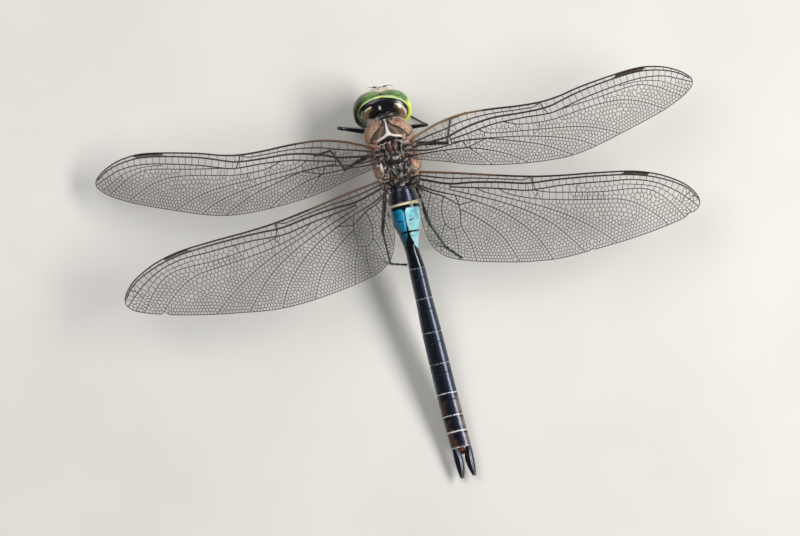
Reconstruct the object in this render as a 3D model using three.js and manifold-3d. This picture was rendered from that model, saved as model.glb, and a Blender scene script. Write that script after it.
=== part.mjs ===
// A life-size lesser emperor dragonfly, male, resting with its wings spread.
// Millimetres, +Z up, head towards +Y, the animal's right towards +X.
// The shape is laid out from a body origin on the back between the forewings: `back` runs
// towards the tail, `side` towards the animal's right, and heights stand on the ground at 0.
// At the end the whole is shifted so that the centre of its footprint is the origin.
import * as THREE from "three";
import { mergeVertices } from "three/addons/utils/BufferGeometryUtils.js";
import Module from "manifold-3d";

const wasm = await Module();
wasm.setup();

// ---- Driving dimensions ----
const GAP = 0.2; // clearance between neighbouring pieces

// Head: half sizes across, from crown to chin, and from nape to face
const HEAD_HALF_WIDTH = 4.98;
const HEAD_HALF_HEIGHT = 3.35;
const HEAD_HALF_DEPTH = 2.95;
const HEAD_BACK = -9.0;
const HEAD_SIDE = -0.27;
const HEAD_HEIGHT = 7.0;
const HEAD_BOW = THREE.MathUtils.degToRad(52);
const HEAD_TURN = THREE.MathUtils.degToRad(6.5); // towards the animal's right
const EYE_OFFSET = 1.55; // each eye's centre from the midline
const NAPE_PLANE = -0.85; // where the eyes end towards the nape
const FEELER_RADIUS = 0.25;

// Thorax
const THORAX_FRONT = -7.2;
const THORAX_REAR = 4.7;
const THORAX_CUT = -0.2; // where the forewing ring ends and the hindwing ring starts
const THORAX_SLANT = 0.45; // how far that cut leans back for each millimetre up
const THORAX_MIDDLE_HEIGHT = 8.8;
const NECK_FRONT = -8.2;
const NECK_HEIGHT = 8.5;

const FAR = 20; // further than any piece of the head or thorax reaches

// Abdomen: where each of the ten rings starts, and where the last ends
const RING_STARTS = [4.9, 7.4, 12.5, 18.7, 24.0, 29.9, 35.4, 40.6, 44.5, 47.3];
const ABDOMEN_END = 50.3;
const ABDOMEN_BASE_HEIGHT = 8.7;
const ABDOMEN_TIP_HEIGHT = 1.75;
const CERCUS_LENGTH = 5.1;
const CERCUS_WIDTH = 1.4;
const CERCUS_THICKNESS = 0.6;

// Wings: root place, length, how far each tip hangs below its root, and the angle each sweeps back
const WING_THICKNESS = 0.5;
const FOREWING = { back: -2.0, side: 3.3, height: 12.35, length: 48.9 };
const HINDWING = { back: 3.6, side: 3.4, height: 11.9, length: 47.9 };
const DROOP = { fore_left: 9.0, fore_right: 1.6, hind_left: 2.2, hind_right: 2.2 };
const SWEEP_BACK = { fore_left: -7.0, fore_right: 0.0, hind_left: 11.3, hind_right: 17.7 };

// Legs: hip, knee, ankle and claw of each, as back, side and height
const LEGS = {
  front_left: { hip: [-5.3, -2.2, 3.6], knee: [-7.5, -8.2, 5.8], ankle: [-6.4, -4.3], claw: [-8.7, -2.8] },
  front_right: { hip: [-5.2, 1.5, 3.6], knee: [-4.7, 6.5, 6.6], ankle: [-7.0, 4.1], claw: [-9.4, 2.9] },
  middle_left: { hip: [-2.5, -1.9, 3.3], knee: [-0.4, -8.8, 6.8], ankle: [-4.2, -10.5], claw: [-4.0, -13.4] },
  middle_right: { hip: [-2.5, 1.9, 3.3], knee: [-0.9, 9.2, 6.8], ankle: [-4.85, 10.7], claw: [-5.3, 13.6] },
  hind_left: { hip: [0.9, -1.7, 3.3], knee: [11.3, -4.9, 7.0], ankle: [17.0, -4.8], claw: [17.8, -2.0] },
  hind_right: { hip: [0.9, 1.7, 3.3], knee: [11.9, 3.2, 7.2], ankle: [16.2, 5.0], claw: [18.8, 7.4] },
};
const FEMUR_RADIUS = 0.42;
const TIBIA_RADIUS = 0.26;
const TARSUS_RADIUS = 0.3;
const KNEE_CLEARANCE = 0.62;
const SOLE_CLEARANCE = 0.22; // height of the tarsus's middle line over the ground

// ---- Finishes ----
const finish = (color, roughness, metalness = 0) =>
  new THREE.MeshStandardMaterial({ color, roughness, metalness });
const finishes = {
  eye: () => finish(0x4f7a2a, 0.25),
  face: () => finish(0x8d8a4a, 0.45),
  black: () => finish(0x14110f, 0.3),
  thorax: () => finish(0x6e4a35, 0.6),
  blue: () => finish(0x1aa8c4, 0.45),
  abdomen: () => finish(0x1d1a1c, 0.35),
  wing: () => finish(0xb8b0a4, 0.3),
};

// ---- Helpers ----
const at = (back, side, height) => new THREE.Vector3(side, -back, height);

// A smooth curve through [position, value] pairs, read as value at a position.
function profile(pairs) {
  return (position) => {
    const last = pairs.length - 1;
    if (position <= pairs[0][0]) return pairs[0][1];
    if (position >= pairs[last][0]) return pairs[last][1];
    const k = pairs.findIndex(([p]) => p > position) - 1;
    const slope = (i) => {
      const before = pairs[Math.max(i - 1, 0)];
      const after = pairs[Math.min(i + 1, last)];
      return (after[1] - before[1]) / (after[0] - before[0]);
    };
    const [p0, v0] = pairs[k];
    const [p1, v1] = pairs[k + 1];
    const span = p1 - p0;
    const t = (position - p0) / span;
    const ease = t * t * (3 - 2 * t);
    return (
      v0 + (v1 - v0) * ease +
      slope(k) * span * t * (1 - t) ** 2 -
      slope(k + 1) * span * t * t * (1 - t)
    );
  };
}

// A closed round body along a run of sections: section(t) gives its centre and the two
// half-axis vectors, for t from 0 at one end to 1 at the other.
function loft(section, sides, steps) {
  const geometry = new THREE.CylinderGeometry(1, 1, 1, sides, steps);
  const places = geometry.getAttribute("position");
  const point = new THREE.Vector3();
  for (let i = 0; i < places.count; i++) {
    point.fromBufferAttribute(places, i);
    const { centre, across, up } = section(0.5 - point.y);
    const placed = centre.clone().addScaledVector(across, point.x).addScaledVector(up, point.z);
    places.setXYZ(i, placed.x, placed.y, placed.z);
  }
  return geometry;
}

// A tapering rod between two points, with a swelling in its middle.
function rod(from, to, startRadius, endRadius, swell = 0, sides = 8) {
  const along = to.clone().sub(from);
  const across = new THREE.Vector3(0, 0, 1).cross(along).normalize();
  const up = along.clone().cross(across).normalize();
  const steps = swell ? 4 : 1;
  return loft((t) => {
    const radius = startRadius + (endRadius - startRadius) * t + swell * Math.sin(Math.PI * t);
    return {
      centre: from.clone().addScaledVector(along, t),
      across: across.clone().multiplyScalar(radius),
      up: up.clone().multiplyScalar(radius),
    };
  }, sides, steps);
}

// A round tube along a curve
function tube(path, radius, sides, steps) {
  const section = new THREE.Shape();
  section.absarc(0, 0, radius, 0, 2 * Math.PI);
  return new THREE.ExtrudeGeometry(section, { extrudePath: path, steps, curveSegments: sides });
}

// Solids for cutting and joining
function solidOf(geometry) {
  const bare = geometry.clone();
  bare.deleteAttribute("normal");
  bare.deleteAttribute("uv");
  const merged = mergeVertices(bare, 1e-4);
  return new wasm.Manifold(new wasm.Mesh({
    numProp: 3,
    vertProperties: new Float32Array(merged.getAttribute("position").array),
    triVerts: new Uint32Array(merged.index.array),
  }));
}

function geometryOf(solid) {
  const mesh = solid.getMesh();
  const geometry = new THREE.BufferGeometry();
  geometry.setAttribute("position", new THREE.BufferAttribute(new Float32Array(mesh.vertProperties), 3));
  geometry.setIndex(new THREE.BufferAttribute(new Uint32Array(mesh.triVerts), 1));
  geometry.computeVertexNormals();
  return geometry;
}

function ellipsoid(centre, halves, columns = 24, rows = 16) {
  const geometry = new THREE.SphereGeometry(1, columns, rows);
  geometry.scale(...halves);
  geometry.translate(...centre);
  return solidOf(geometry);
}

function block(low, high) {
  const size = high.map((value, i) => value - low[i]);
  const geometry = new THREE.BoxGeometry(...size);
  geometry.translate(...low.map((value, i) => value + size[i] / 2));
  return solidOf(geometry);
}

const dragonfly = new THREE.Group();

function add(name, geometry, material, parent = dragonfly) {
  const mesh = new THREE.Mesh(geometry, material());
  mesh.name = name;
  parent.add(mesh);
  return mesh;
}

// ---- Thorax ----
const thoraxWidth = profile([
  [-7.2, 2.5], [-6.4, 3.35], [-5.2, 4.0], [-3.6, 4.2], [-1, 4.15], [1.5, 4.1], [3.4, 3.5], [4.7, 2.6],
]);
const thoraxTop = profile([
  [-7.2, 9.6], [-6.2, 11.1], [-4.8, 12.6], [-3.4, 13.3], [-1, 13.2], [1.5, 12.9], [3.4, 12.4], [4.7, 11.2],
]);
const thoraxBottom = profile([
  [-7.2, 7.4], [-6.4, 6.3], [-5.2, 4.9], [-4.0, 4.4], [-1, 4.2], [1.5, 4.3], [3.4, 5.2], [4.7, 6.3],
]);

// The thorax's outer shape, made larger all round by `grow`
function thoraxShell(grow = 0) {
  return loft((t) => {
    const back = THORAX_FRONT - grow + (THORAX_REAR - THORAX_FRONT + 2 * grow) * t;
    const top = thoraxTop(back) + grow;
    const bottom = thoraxBottom(back) - grow;
    return {
      centre: at(back, 0, (top + bottom) / 2),
      across: new THREE.Vector3(thoraxWidth(back) + grow, 0, 0),
      up: new THREE.Vector3(0, 0, (top - bottom) / 2),
    };
  }, 20, 12);
}

// The neck shield between head and thorax
function neckShell(grow = 0) {
  const front = NECK_FRONT - grow;
  const run = THORAX_FRONT - GAP + grow - front;
  return loft((t) => ({
    centre: at(front + run * t, 0, NECK_HEIGHT),
    across: new THREE.Vector3(1.5 + 0.5 * t + grow, 0, 0),
    up: new THREE.Vector3(0, 0, 0.75 + 0.35 * t + grow),
  }), 14, 2);
}

// Everything between two slanting cuts, given by their places at the thorax's middle height
function slantedSlice(from, to) {
  const geometry = new THREE.BoxGeometry(2 * FAR, to - from, 2 * FAR);
  geometry.translate(0, -(from + to) / 2, 0);
  const places = geometry.getAttribute("position");
  for (let i = 0; i < places.count; i++) {
    places.setY(i, places.getY(i) - THORAX_SLANT * places.getZ(i));
  }
  geometry.translate(0, 0, THORAX_MIDDLE_HEIGHT);
  return solidOf(geometry);
}

function addThorax() {
  const body = solidOf(thoraxShell());
  const front = body.intersect(slantedSlice(-FAR, THORAX_CUT - GAP / 2));
  const rear = body.intersect(slantedSlice(THORAX_CUT + GAP / 2, FAR));
  add("mesothorax", geometryOf(front), finishes.thorax);
  add("metathorax", geometryOf(rear), finishes.thorax);
  add("prothorax", neckShell(), finishes.thorax);
}

// ---- Head: turned a little on the neck, then bowed in a frame of its own, where x is across,
// y towards the face and z towards the crown ----
const headTurn = new THREE.Group();
headTurn.position.copy(at(HEAD_BACK, HEAD_SIDE, HEAD_HEIGHT));
headTurn.rotation.z = -HEAD_TURN;
dragonfly.add(headTurn);
const headFrame = new THREE.Group();
headFrame.rotation.x = -HEAD_BOW;
headTurn.add(headFrame);
headFrame.updateWorldMatrix(true, false);

function headPieces() {
  const eyeHalves = [HEAD_HALF_WIDTH - EYE_OFFSET, HEAD_HALF_DEPTH, HEAD_HALF_HEIGHT];
  const grown = (halves, by) => halves.map((value) => value + by);
  const eyeBall = (side, by = 0) => ellipsoid([side * EYE_OFFSET, 0, 0], grown(eyeHalves, by));

  // The thorax and neck with their clearance, as they lie in the head's frame
  const intoHead = headFrame.matrixWorld.clone().invert();
  const room = (shell) => solidOf(shell.applyMatrix4(intoHead));
  const thoraxRoom = room(thoraxShell(GAP)).add(room(neckShell(GAP)));

  // The capsule that carries both eyes, from the nape to behind the face
  const core = (by) => ellipsoid([0, 0.35, -1.1], grown([2.2, 2.5, 2.35], by));
  const eye = (side) => {
    const half = side > 0 ? block([GAP / 2, NAPE_PLANE, -FAR], [FAR, FAR, FAR])
      : block([-FAR, NAPE_PLANE, -FAR], [-GAP / 2, FAR, FAR]);
    return eyeBall(side).intersect(half).subtract(core(GAP)).subtract(thoraxRoom);
  };

  // The back of the head: a domed plate filling the outline that the eyes leave at the nape
  const plate = ellipsoid([0, NAPE_PLANE, -0.1], [4.45, 1.35, 3.0])
    .intersect(block([-FAR, -FAR, -FAR], [FAR, NAPE_PLANE - GAP, FAR]));
  const bridge = core(0).intersect(block([-FAR, NAPE_PLANE - 1, -FAR], [FAR, FAR, FAR]));
  const head = bridge.add(plate).subtract(thoraxRoom);

  // The face: brow, nose plate and lip, in front of the capsule and between the eyes
  const eyes = eyeBall(1, GAP).add(eyeBall(-1, GAP));
  const band = (shape, low, high) =>
    shape.intersect(block([-FAR, 0.4, low], [FAR, FAR, high])).subtract(eyes).subtract(core(GAP));
  const brow = ellipsoid([0, 1.7, 0.6], [2.05, 2.85, 1.55]);
  const nose = ellipsoid([0, 1.3, -1.0], [2.5, 2.75, 2.1]);
  const lip = ellipsoid([0, 0.7, -2.2], [2.5, 2.3, 1.75]);
  return {
    head,
    eye_left: eye(-1),
    eye_right: eye(1),
    frons: band(brow, -0.35, FAR),
    clypeus: band(nose, -1.75, -0.35 - GAP),
    labrum: band(lip, -FAR, -1.75 - GAP),
  };
}

function addHead() {
  const materials = {
    head: finishes.black, eye_left: finishes.eye, eye_right: finishes.eye,
    frons: finishes.face, clypeus: finishes.face, labrum: finishes.face,
  };
  for (const [name, solid] of Object.entries(headPieces())) {
    add(name, geometryOf(solid), materials[name], headFrame);
  }
  // The feelers spring from above the brow, curl outwards and hang down beside the face
  for (const [name, side] of [["antenna_left", -1], ["antenna_right", 1]]) {
    const curl = new THREE.QuadraticBezierCurve3(
      new THREE.Vector3(side * 0.55, 3.8, -0.3),
      new THREE.Vector3(side * 2.4, 4.05, -0.5),
      new THREE.Vector3(side * 2.3, 3.6, -3.1),
    );
    add(name, tube(curl, FEELER_RADIUS, 6, 6), finishes.black, headTurn);
  }
}

// ---- Abdomen ----
const abdomenWidth = profile([
  [4.9, 2.15], [6.2, 2.5], [8.4, 2.65], [10.5, 2.4], [12.5, 2.0], [14.4, 1.35], [16, 1.12], [18.7, 1.42],
  [24, 1.46], [29.9, 1.68], [35.4, 1.75], [40.6, 1.76], [44.5, 1.78], [47.3, 1.76], [50.3, 1.76],
]);
const abdomenDepth = profile([
  [4.9, 2.3], [7.4, 2.55], [10, 2.35], [12.5, 1.95], [15, 1.35], [18.7, 1.3], [30, 1.35], [44.5, 1.25],
  [50.3, 1.05],
]);
const abdomenHeight = profile([
  [4.9, ABDOMEN_BASE_HEIGHT], [12.5, 7.75], [30, 4.75], [44.5, 2.45], [50.3, ABDOMEN_TIP_HEIGHT],
]);
// It bows a little to the left on its way back
const abdomenSide = profile([
  [4.9, -0.12], [8.9, -0.4], [12.2, -0.65], [20, -0.62], [30, -0.56], [40, -0.42], [46, -0.25], [50.3, -0.08],
]);

function addAbdomen() {
  RING_STARTS.forEach((start, i) => {
    const from = start + GAP / 2;
    const to = (RING_STARTS[i + 1] ?? ABDOMEN_END) - GAP / 2;
    const steps = Math.max(2, Math.round((to - from) / 1.3));
    const ring = loft((t) => {
      const back = from + (to - from) * t;
      return {
        centre: at(back, abdomenSide(back), abdomenHeight(back)),
        across: new THREE.Vector3(abdomenWidth(back), 0, 0),
        up: new THREE.Vector3(0, 0, abdomenDepth(back)),
      };
    }, 14, steps);
    add(`abdomen_${i + 1}`, ring, i === 1 || i === 2 ? finishes.blue : finishes.abdomen);
  });
}

// The claspers at the tail: two leaf-shaped upper ones and a short lower plate
function addClaspers() {
  const start = ABDOMEN_END + GAP / 2;
  const halfWidth = (t) => (CERCUS_WIDTH / 2) * Math.max(Math.sin(Math.PI * (0.16 + 0.78 * t)), 0.3);
  const spread = profile([[0, 1.22], [0.4, 0.9], [1, 1.06]]);
  for (const [name, side] of [["cercus_left", -1], ["cercus_right", 1]]) {
    const leaf = loft((t) => ({
      centre: at(start + CERCUS_LENGTH * t, side * spread(t), ABDOMEN_TIP_HEIGHT + 0.35 - 0.5 * t),
      across: new THREE.Vector3(halfWidth(t), 0, 0),
      up: new THREE.Vector3(0, 0, CERCUS_THICKNESS / 2),
    }), 8, 6);
    add(name, leaf, finishes.black);
  }
  const lower = loft((t) => ({
    centre: at(start + 1.2 * t, 0, ABDOMEN_TIP_HEIGHT - 0.6),
    across: new THREE.Vector3(0.75 - 0.25 * t, 0, 0),
    up: new THREE.Vector3(0, 0, 0.28),
  }), 8, 1);
  add("epiproct", lower, finishes.thorax);
}

// ---- Wings: x runs from root to tip, y towards the leading edge ----
const foreLeading = profile([
  [0, 0.8], [2, 1.5], [5, 2.4], [9, 3.0], [14, 2.8], [19, 2.25], [23, 2.05], [26, 2.3],
  [30, 3.05], [37, 3.85], [41, 3.95], [44.5, 3.2], [46.8, 2.1], [48.1, 1.1], [48.7, 0.4], [48.9, -0.1],
]);
const foreTrailing = profile([
  [0, -2.6], [5, -4.2], [9, -5.6], [14, -6.8], [20, -7.7], [25, -8.0], [29, -7.6], [35, -6.2], [42, -4.3],
  [45, -3.2], [47, -2.25], [48.2, -1.4], [48.7, -0.9], [48.9, -0.4],
]);
const hindLeading = profile([
  [0, 0.7], [6, 1.0], [13, 1.2], [19, 1.5], [24, 2.1], [30, 3.05], [36, 3.8], [40, 3.7], [43, 3.1],
  [45.2, 2.3], [46.7, 1.3], [47.6, 0.3], [47.9, -0.4],
]);
const hindTrailing = profile([
  [0, -3.4], [0.7, -6.6], [1.8, -9.6], [3.5, -12.0], [6, -13.3], [10, -13.6], [15, -13.4], [20, -12.9],
  [25, -11.9], [30, -10.2], [36, -7.9], [41, -5.7], [45, -3.6], [46.8, -2.4], [47.6, -1.5], [47.9, -0.9],
]);

function wingGeometry(wing, droop, leading, trailing) {
  // Sections crowd towards both ends, where the outline turns quickest
  const spread = (t) => t - 0.11 * Math.sin(2 * Math.PI * t);
  return loft((t) => {
    const along = wing.length * spread(t);
    const front = leading(along);
    const rear = trailing(along);
    const share = along / wing.length;
    // The wing bends down along a parabola, so it reaches out a little less than its length
    const out = along - (2 * droop ** 2 * share ** 3) / (3 * wing.length);
    return {
      centre: new THREE.Vector3(out, (front + rear) / 2, -droop * share ** 2),
      across: new THREE.Vector3(0, (front - rear) / 2, 0),
      up: new THREE.Vector3(0, 0, WING_THICKNESS / 2),
    };
  }, 8, 24);
}

function addWings() {
  const pairs = [
    ["forewing", "fore", FOREWING, foreLeading, foreTrailing],
    ["hindwing", "hind", HINDWING, hindLeading, hindTrailing],
  ];
  for (const [name, pair, wing, leading, trailing] of pairs) {
    for (const [word, side] of [["left", -1], ["right", 1]]) {
      const geometry = wingGeometry(wing, DROOP[`${pair}_${word}`], leading, trailing);
      const mesh = add(`${name}_${word}`, geometry, finishes.wing);
      mesh.position.copy(at(wing.back, side * wing.side, wing.height));
      mesh.rotation.z = -side * THREE.MathUtils.degToRad(SWEEP_BACK[`${pair}_${word}`]);
      mesh.scale.x = side;
    }
  }
}

// ---- Legs ----
// A foot lies along the ground: its underside is cut flat at height 0.
function foot(from, to) {
  const geometry = rod(from, to, TARSUS_RADIUS, TARSUS_RADIUS * 0.9, 0, 10);
  const places = geometry.getAttribute("position");
  for (let i = 0; i < places.count; i++) places.setZ(i, Math.max(places.getZ(i), 0));
  return geometry;
}

function addLegs() {
  const thoraxRoom = solidOf(thoraxShell(GAP));
  for (const [name, leg] of Object.entries(LEGS)) {
    const hip = at(...leg.hip);
    const knee = at(...leg.knee);
    const ankle = at(...leg.ankle, SOLE_CLEARANCE);
    const claw = at(...leg.claw, SOLE_CLEARANCE);
    const thigh = knee.clone().sub(hip).normalize();
    const shin = ankle.clone().sub(knee).normalize();
    const instep = claw.clone().sub(ankle).normalize();

    // The hip block hangs from the thorax and is cut to its surface
    const socket = new THREE.Vector3(hip.x * 0.75, hip.y, hip.z + 2.2);
    const hipBlock = solidOf(rod(socket, hip, 0.8, 0.5)).subtract(thoraxRoom);
    add(`coxa_${name}`, geometryOf(hipBlock), finishes.black);

    const thighStart = hip.clone().addScaledVector(thigh, 0.75);
    // A shin folded back beside its thigh starts further from the knee, clear of the thigh
    const fold = Math.min(thigh.clone().negate().angleTo(shin), Math.PI / 2);
    const shinStart = knee.clone().addScaledVector(shin, KNEE_CLEARANCE / Math.sin(fold));
    const shinEnd = ankle.clone().addScaledVector(shin, -0.65);
    const footStart = ankle.clone().addScaledVector(instep, -0.1);
    add(`femur_${name}`, rod(thighStart, knee, 0.34, 0.3, FEMUR_RADIUS - 0.32), finishes.black);
    add(`tibia_${name}`, rod(shinStart, shinEnd, TIBIA_RADIUS, TIBIA_RADIUS), finishes.black);
    add(`tarsus_${name}`, foot(footStart, claw), finishes.black);
  }
}

addHead();
addThorax();
addAbdomen();
addClaspers();
addWings();
addLegs();

// The origin goes to the middle of the footprint, on the ground
dragonfly.updateMatrixWorld(true);
const extent = new THREE.Box3().setFromObject(dragonfly, true);
const middle = extent.getCenter(new THREE.Vector3());
dragonfly.position.set(-middle.x, -middle.y, -extent.min.z);

export default dragonfly;
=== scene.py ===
"""A male lesser emperor dragonfly, life size, resting with its wings spread.

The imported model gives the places, and this script gives each piece its final shape and finish.
Sizes are millimetres in the animal's own terms: `back` runs from between the forewings towards
the tail, `side` towards the animal's right, and heights stand on the ground at 0.
"""
import random
from math import acos, atan2, ceil, cos, exp, hypot, log1p, pi, radians, remainder, sin, sqrt

import bmesh
import bpy
import numpy as np
from mathutils import Matrix, Vector, noise
from mathutils.geometry import delaunay_2d_cdt


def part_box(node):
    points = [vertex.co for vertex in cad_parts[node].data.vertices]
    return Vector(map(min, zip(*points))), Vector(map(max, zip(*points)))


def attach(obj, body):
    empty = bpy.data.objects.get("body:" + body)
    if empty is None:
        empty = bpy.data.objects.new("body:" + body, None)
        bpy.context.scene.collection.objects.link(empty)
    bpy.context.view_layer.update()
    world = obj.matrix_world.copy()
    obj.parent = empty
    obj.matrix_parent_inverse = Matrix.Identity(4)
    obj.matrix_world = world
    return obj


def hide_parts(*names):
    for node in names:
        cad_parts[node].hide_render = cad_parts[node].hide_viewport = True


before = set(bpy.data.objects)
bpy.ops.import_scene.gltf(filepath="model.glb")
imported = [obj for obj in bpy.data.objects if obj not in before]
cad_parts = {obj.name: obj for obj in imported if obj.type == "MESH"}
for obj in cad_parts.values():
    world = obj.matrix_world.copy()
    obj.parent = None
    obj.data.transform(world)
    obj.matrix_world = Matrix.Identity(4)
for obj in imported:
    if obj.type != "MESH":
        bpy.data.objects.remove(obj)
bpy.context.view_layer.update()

rng = random.Random(11)
MM = 0.001

# ---- Driving sizes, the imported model's own ----
THORAX_FRONT, THORAX_REAR = -7.2, 4.7
HEAD_BACK, HEAD_SIDE, HEAD_HEIGHT = -9.0, -0.27, 7.0
HEAD_BOW, HEAD_TURN = radians(52), radians(6.5)
EYE_OFFSET = 1.55
EYE_HALVES = (3.43, 2.95, 3.35)
NAPE_PLANE = -0.85
NAPE_WIDTH, NAPE_HEIGHT, NAPE_SIDE = 4.34, 3.08, 0.16  # half sizes of the plate behind the eyes
RING_STARTS = [4.9, 7.4, 12.5, 18.7, 24.0, 29.9, 35.4, 40.6, 44.5, 47.3, 50.3]
TAIL_HEIGHT = 1.75
CERCUS_LENGTH = 5.1
SOLE = 0.17  # height of a tarsus's middle line over the ground
SIDES = (("left", -1), ("right", 1))

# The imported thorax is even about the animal's middle plane, and its front end gives the rest
thorax_low, thorax_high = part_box("mesothorax")
MIDDLE = (thorax_low.x + thorax_high.x) / 2
FRONT = thorax_high.y


def at(back, side, height):
    """A place on the animal, in metres."""
    return Vector((MIDDLE + side * MM, FRONT - (back - THORAX_FRONT) * MM, height * MM))


def profile(*pairs):
    """A smooth curve through (position, value) pairs, level beyond its ends."""
    last = len(pairs) - 1

    def slope(k):
        (p0, v0), (p1, v1) = pairs[max(k - 1, 0)], pairs[min(k + 1, last)]
        return (v1 - v0) / (p1 - p0)

    def value(position):
        if position <= pairs[0][0]:
            return pairs[0][1]
        if position >= pairs[last][0]:
            return pairs[last][1]
        k = next(i for i, (p, _) in enumerate(pairs) if p > position) - 1
        (p0, v0), (p1, v1) = pairs[k], pairs[k + 1]
        span = p1 - p0
        t = (position - p0) / span
        return (v0 + (v1 - v0) * t * t * (3 - 2 * t)
                + slope(k) * span * t * (1 - t) ** 2 - slope(k + 1) * span * t * t * (1 - t))

    return value


def bump(x, width):
    """1 at x = 0, falling smoothly to nothing about two widths away."""
    return exp(-(x / width) ** 2)


def noise_at(x, y, z):
    """Smooth noise about 0."""
    return noise.noise(Vector((x, y, z)))


def clamp(x):
    """x, held between 0 and 1."""
    return max(0.0, min(1.0, x))


def way_to_line(point, line):
    """Distance from a flat point to a line of flat points."""
    best = 1e9
    for (ax, ay), (bx, by) in zip(line, line[1:]):
        ex, ey = bx - ax, by - ay
        t = ((point[0] - ax) * ex + (point[1] - ay) * ey) / (ex * ex + ey * ey)
        t = clamp(t)
        best = min(best, hypot(point[0] - ax - t * ex, point[1] - ay - t * ey))
    return best


def smooth_line(points, step):
    """A smooth line through points, flat or in space, with a point about every step."""
    points = [Vector(p) for p in points]
    ends = [2 * points[0] - points[1], *points, 2 * points[-1] - points[-2]]
    line = []
    for before, start, end, after in zip(ends, ends[1:], ends[2:], ends[3:]):
        count = max(1, ceil((end - start).length / step))
        for i in range(count):
            t = i / count
            line.append(0.5 * (2 * start + (end - before) * t
                               + (2 * before - 5 * start + 4 * end - after) * t * t
                               + (3 * start - before - 3 * end + after) * t ** 3))
    return line + [points[-1]]


# ---- Making and finishing pieces ----
# A mark is the distance in mm into a marking, kept with FAR added, so that a bare piece, which
# reads 0, is far outside it. A marking that isn't here at all has the value AWAY.
FAR = 5.0
AWAY = -1.0


def put(name, data):
    """Adds an object to the scene."""
    made = bpy.data.objects.new(name, data)
    bpy.context.scene.collection.objects.link(made)
    return made


def skinned(name, bm, material):
    """Turns bm into an object of one material."""
    mesh = bpy.data.meshes.new(name)
    bm.to_mesh(mesh)
    bm.free()
    mesh.materials.append(material)
    return put(name, mesh)


def marked(*names):
    """An empty mesh whose points can keep the named marks."""
    bm = bmesh.new()
    for name in names:
        bm.verts.layers.float.new(name)
    return bm


def shell(columns, rows, place, marks=None):
    """A closed skin: a sphere whose points go to place(turn, run). turn is 0 on the animal's
    right and a quarter turn at the top, and run goes from 0 at the front pole to 1 at the rear.
    marks names functions of (turn, run) whose value each point keeps."""
    marks = marks or {}
    bm = marked(*marks)
    bmesh.ops.create_uvsphere(bm, u_segments=columns, v_segments=rows, radius=1)
    layers = [(bm.verts.layers.float[name], value) for name, value in marks.items()]
    for vert in bm.verts:
        turn = atan2(vert.co.y, vert.co.x)
        run = acos(max(-1.0, min(1.0, vert.co.z))) / pi
        for layer, value in layers:
            vert[layer] = FAR + max(-FAR, value(turn, run))
        vert.co = place(turn, run)
    bmesh.ops.recalc_face_normals(bm, faces=bm.faces)
    return bm


def marks_at(spot, *marks):
    """Marks for shell, each named as its function, which takes what spot gives for a place."""
    return {mark.__name__: lambda turn, run, mark=mark: mark(*spot(turn, run)) for mark in marks}


def capped(run, cap):
    """Splits a run into a place along a body, 0 to 1, and how far its section has opened there."""
    along = clamp((run - cap) / (1 - 2 * cap))
    opened = sin(pi / 2 * min(1.0, run / cap, (1 - run) / cap))
    return along, opened


def keep_mark(bm, verts, name, value):
    """Gives points a mark of one value. The mark's layer is there before the points are."""
    layer = bm.verts.layers.float[name]
    for vert in verts:
        vert[layer] = FAR + value


def dome(bm, centre, halves, turn=None, columns=20, rows=12, mark=None):
    """Adds a rounded plate or ball to bm, of half sizes in mm, turned by a matrix. mark is a
    (name, value) pair that its points keep."""
    size = Matrix.Diagonal((halves[0] * MM, halves[1] * MM, halves[2] * MM, 1))
    made = bmesh.ops.create_uvsphere(bm, u_segments=columns, v_segments=rows, radius=1,
                                     matrix=Matrix.Translation(centre) @ (turn or Matrix()) @ size)
    if mark:
        keep_mark(bm, made["verts"], *mark)
    return made["verts"]


def tubes(bm, strands, sides=6, mark=None):
    """Adds round tapering tubes to bm. A strand is a list of (point, radius in mm)."""
    curve = bpy.data.curves.new("strands", "CURVE")
    curve.dimensions = "3D"
    curve.bevel_depth = MM
    curve.bevel_resolution = (sides - 4) // 2
    curve.use_fill_caps = True
    for strand in strands:
        spline = curve.splines.new("POLY")
        spline.points.add(len(strand) - 1)
        for point, (place, radius) in zip(spline.points, strand):
            point.co = (*place, 1)
            point.radius = radius
    holder = put("strands", curve)
    drawn = holder.evaluated_get(bpy.context.evaluated_depsgraph_get())
    mesh = bpy.data.meshes.new_from_object(drawn)
    before = len(bm.verts)
    bm.from_mesh(mesh)
    bm.verts.ensure_lookup_table()
    if mark:
        keep_mark(bm, bm.verts[before:], *mark)
    bpy.data.objects.remove(holder)
    bpy.data.curves.remove(curve)
    bpy.data.meshes.remove(mesh)


def piece(name, bm, material, replaced=(), crease=None):
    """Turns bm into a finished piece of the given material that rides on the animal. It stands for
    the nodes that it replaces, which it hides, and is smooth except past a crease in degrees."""
    made = skinned(name, bm, material)
    made.data.polygons.foreach_set("use_smooth", [True] * len(made.data.polygons))
    if crease:
        made.data.set_sharp_from_angle(angle=radians(crease))
    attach(made, "root")
    if replaced:
        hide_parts(*replaced)
    return made


# ---- Finishes ----
def linear(shade):
    """An sRGB hex colour as linear red, green, blue and alpha."""
    parts = [int(shade[i:i + 2], 16) / 255 for i in (1, 3, 5)]
    return [c / 12.92 if c <= 0.04045 else ((c + 0.055) / 1.055) ** 2.4 for c in parts] + [1.0]


def node(tree, kind, sockets=None, **settings):
    """Adds a node with its settings, and its sockets' values or links."""
    made = tree.nodes.new("ShaderNode" + kind)
    for name, value in settings.items():
        if name == "stops":
            ramp = made.color_ramp
            while len(ramp.elements) < len(value):
                ramp.elements.new(0.5)
            for element, (place, shade) in zip(ramp.elements, value):
                element.position = place
                element.color = linear(shade)
        else:
            setattr(made, name, value)
    for name, value in (sockets or {}).items():
        if isinstance(value, bpy.types.NodeSocket):
            tree.links.new(value, made.inputs[name])
        else:
            made.inputs[name].default_value = value
    return made


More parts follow.
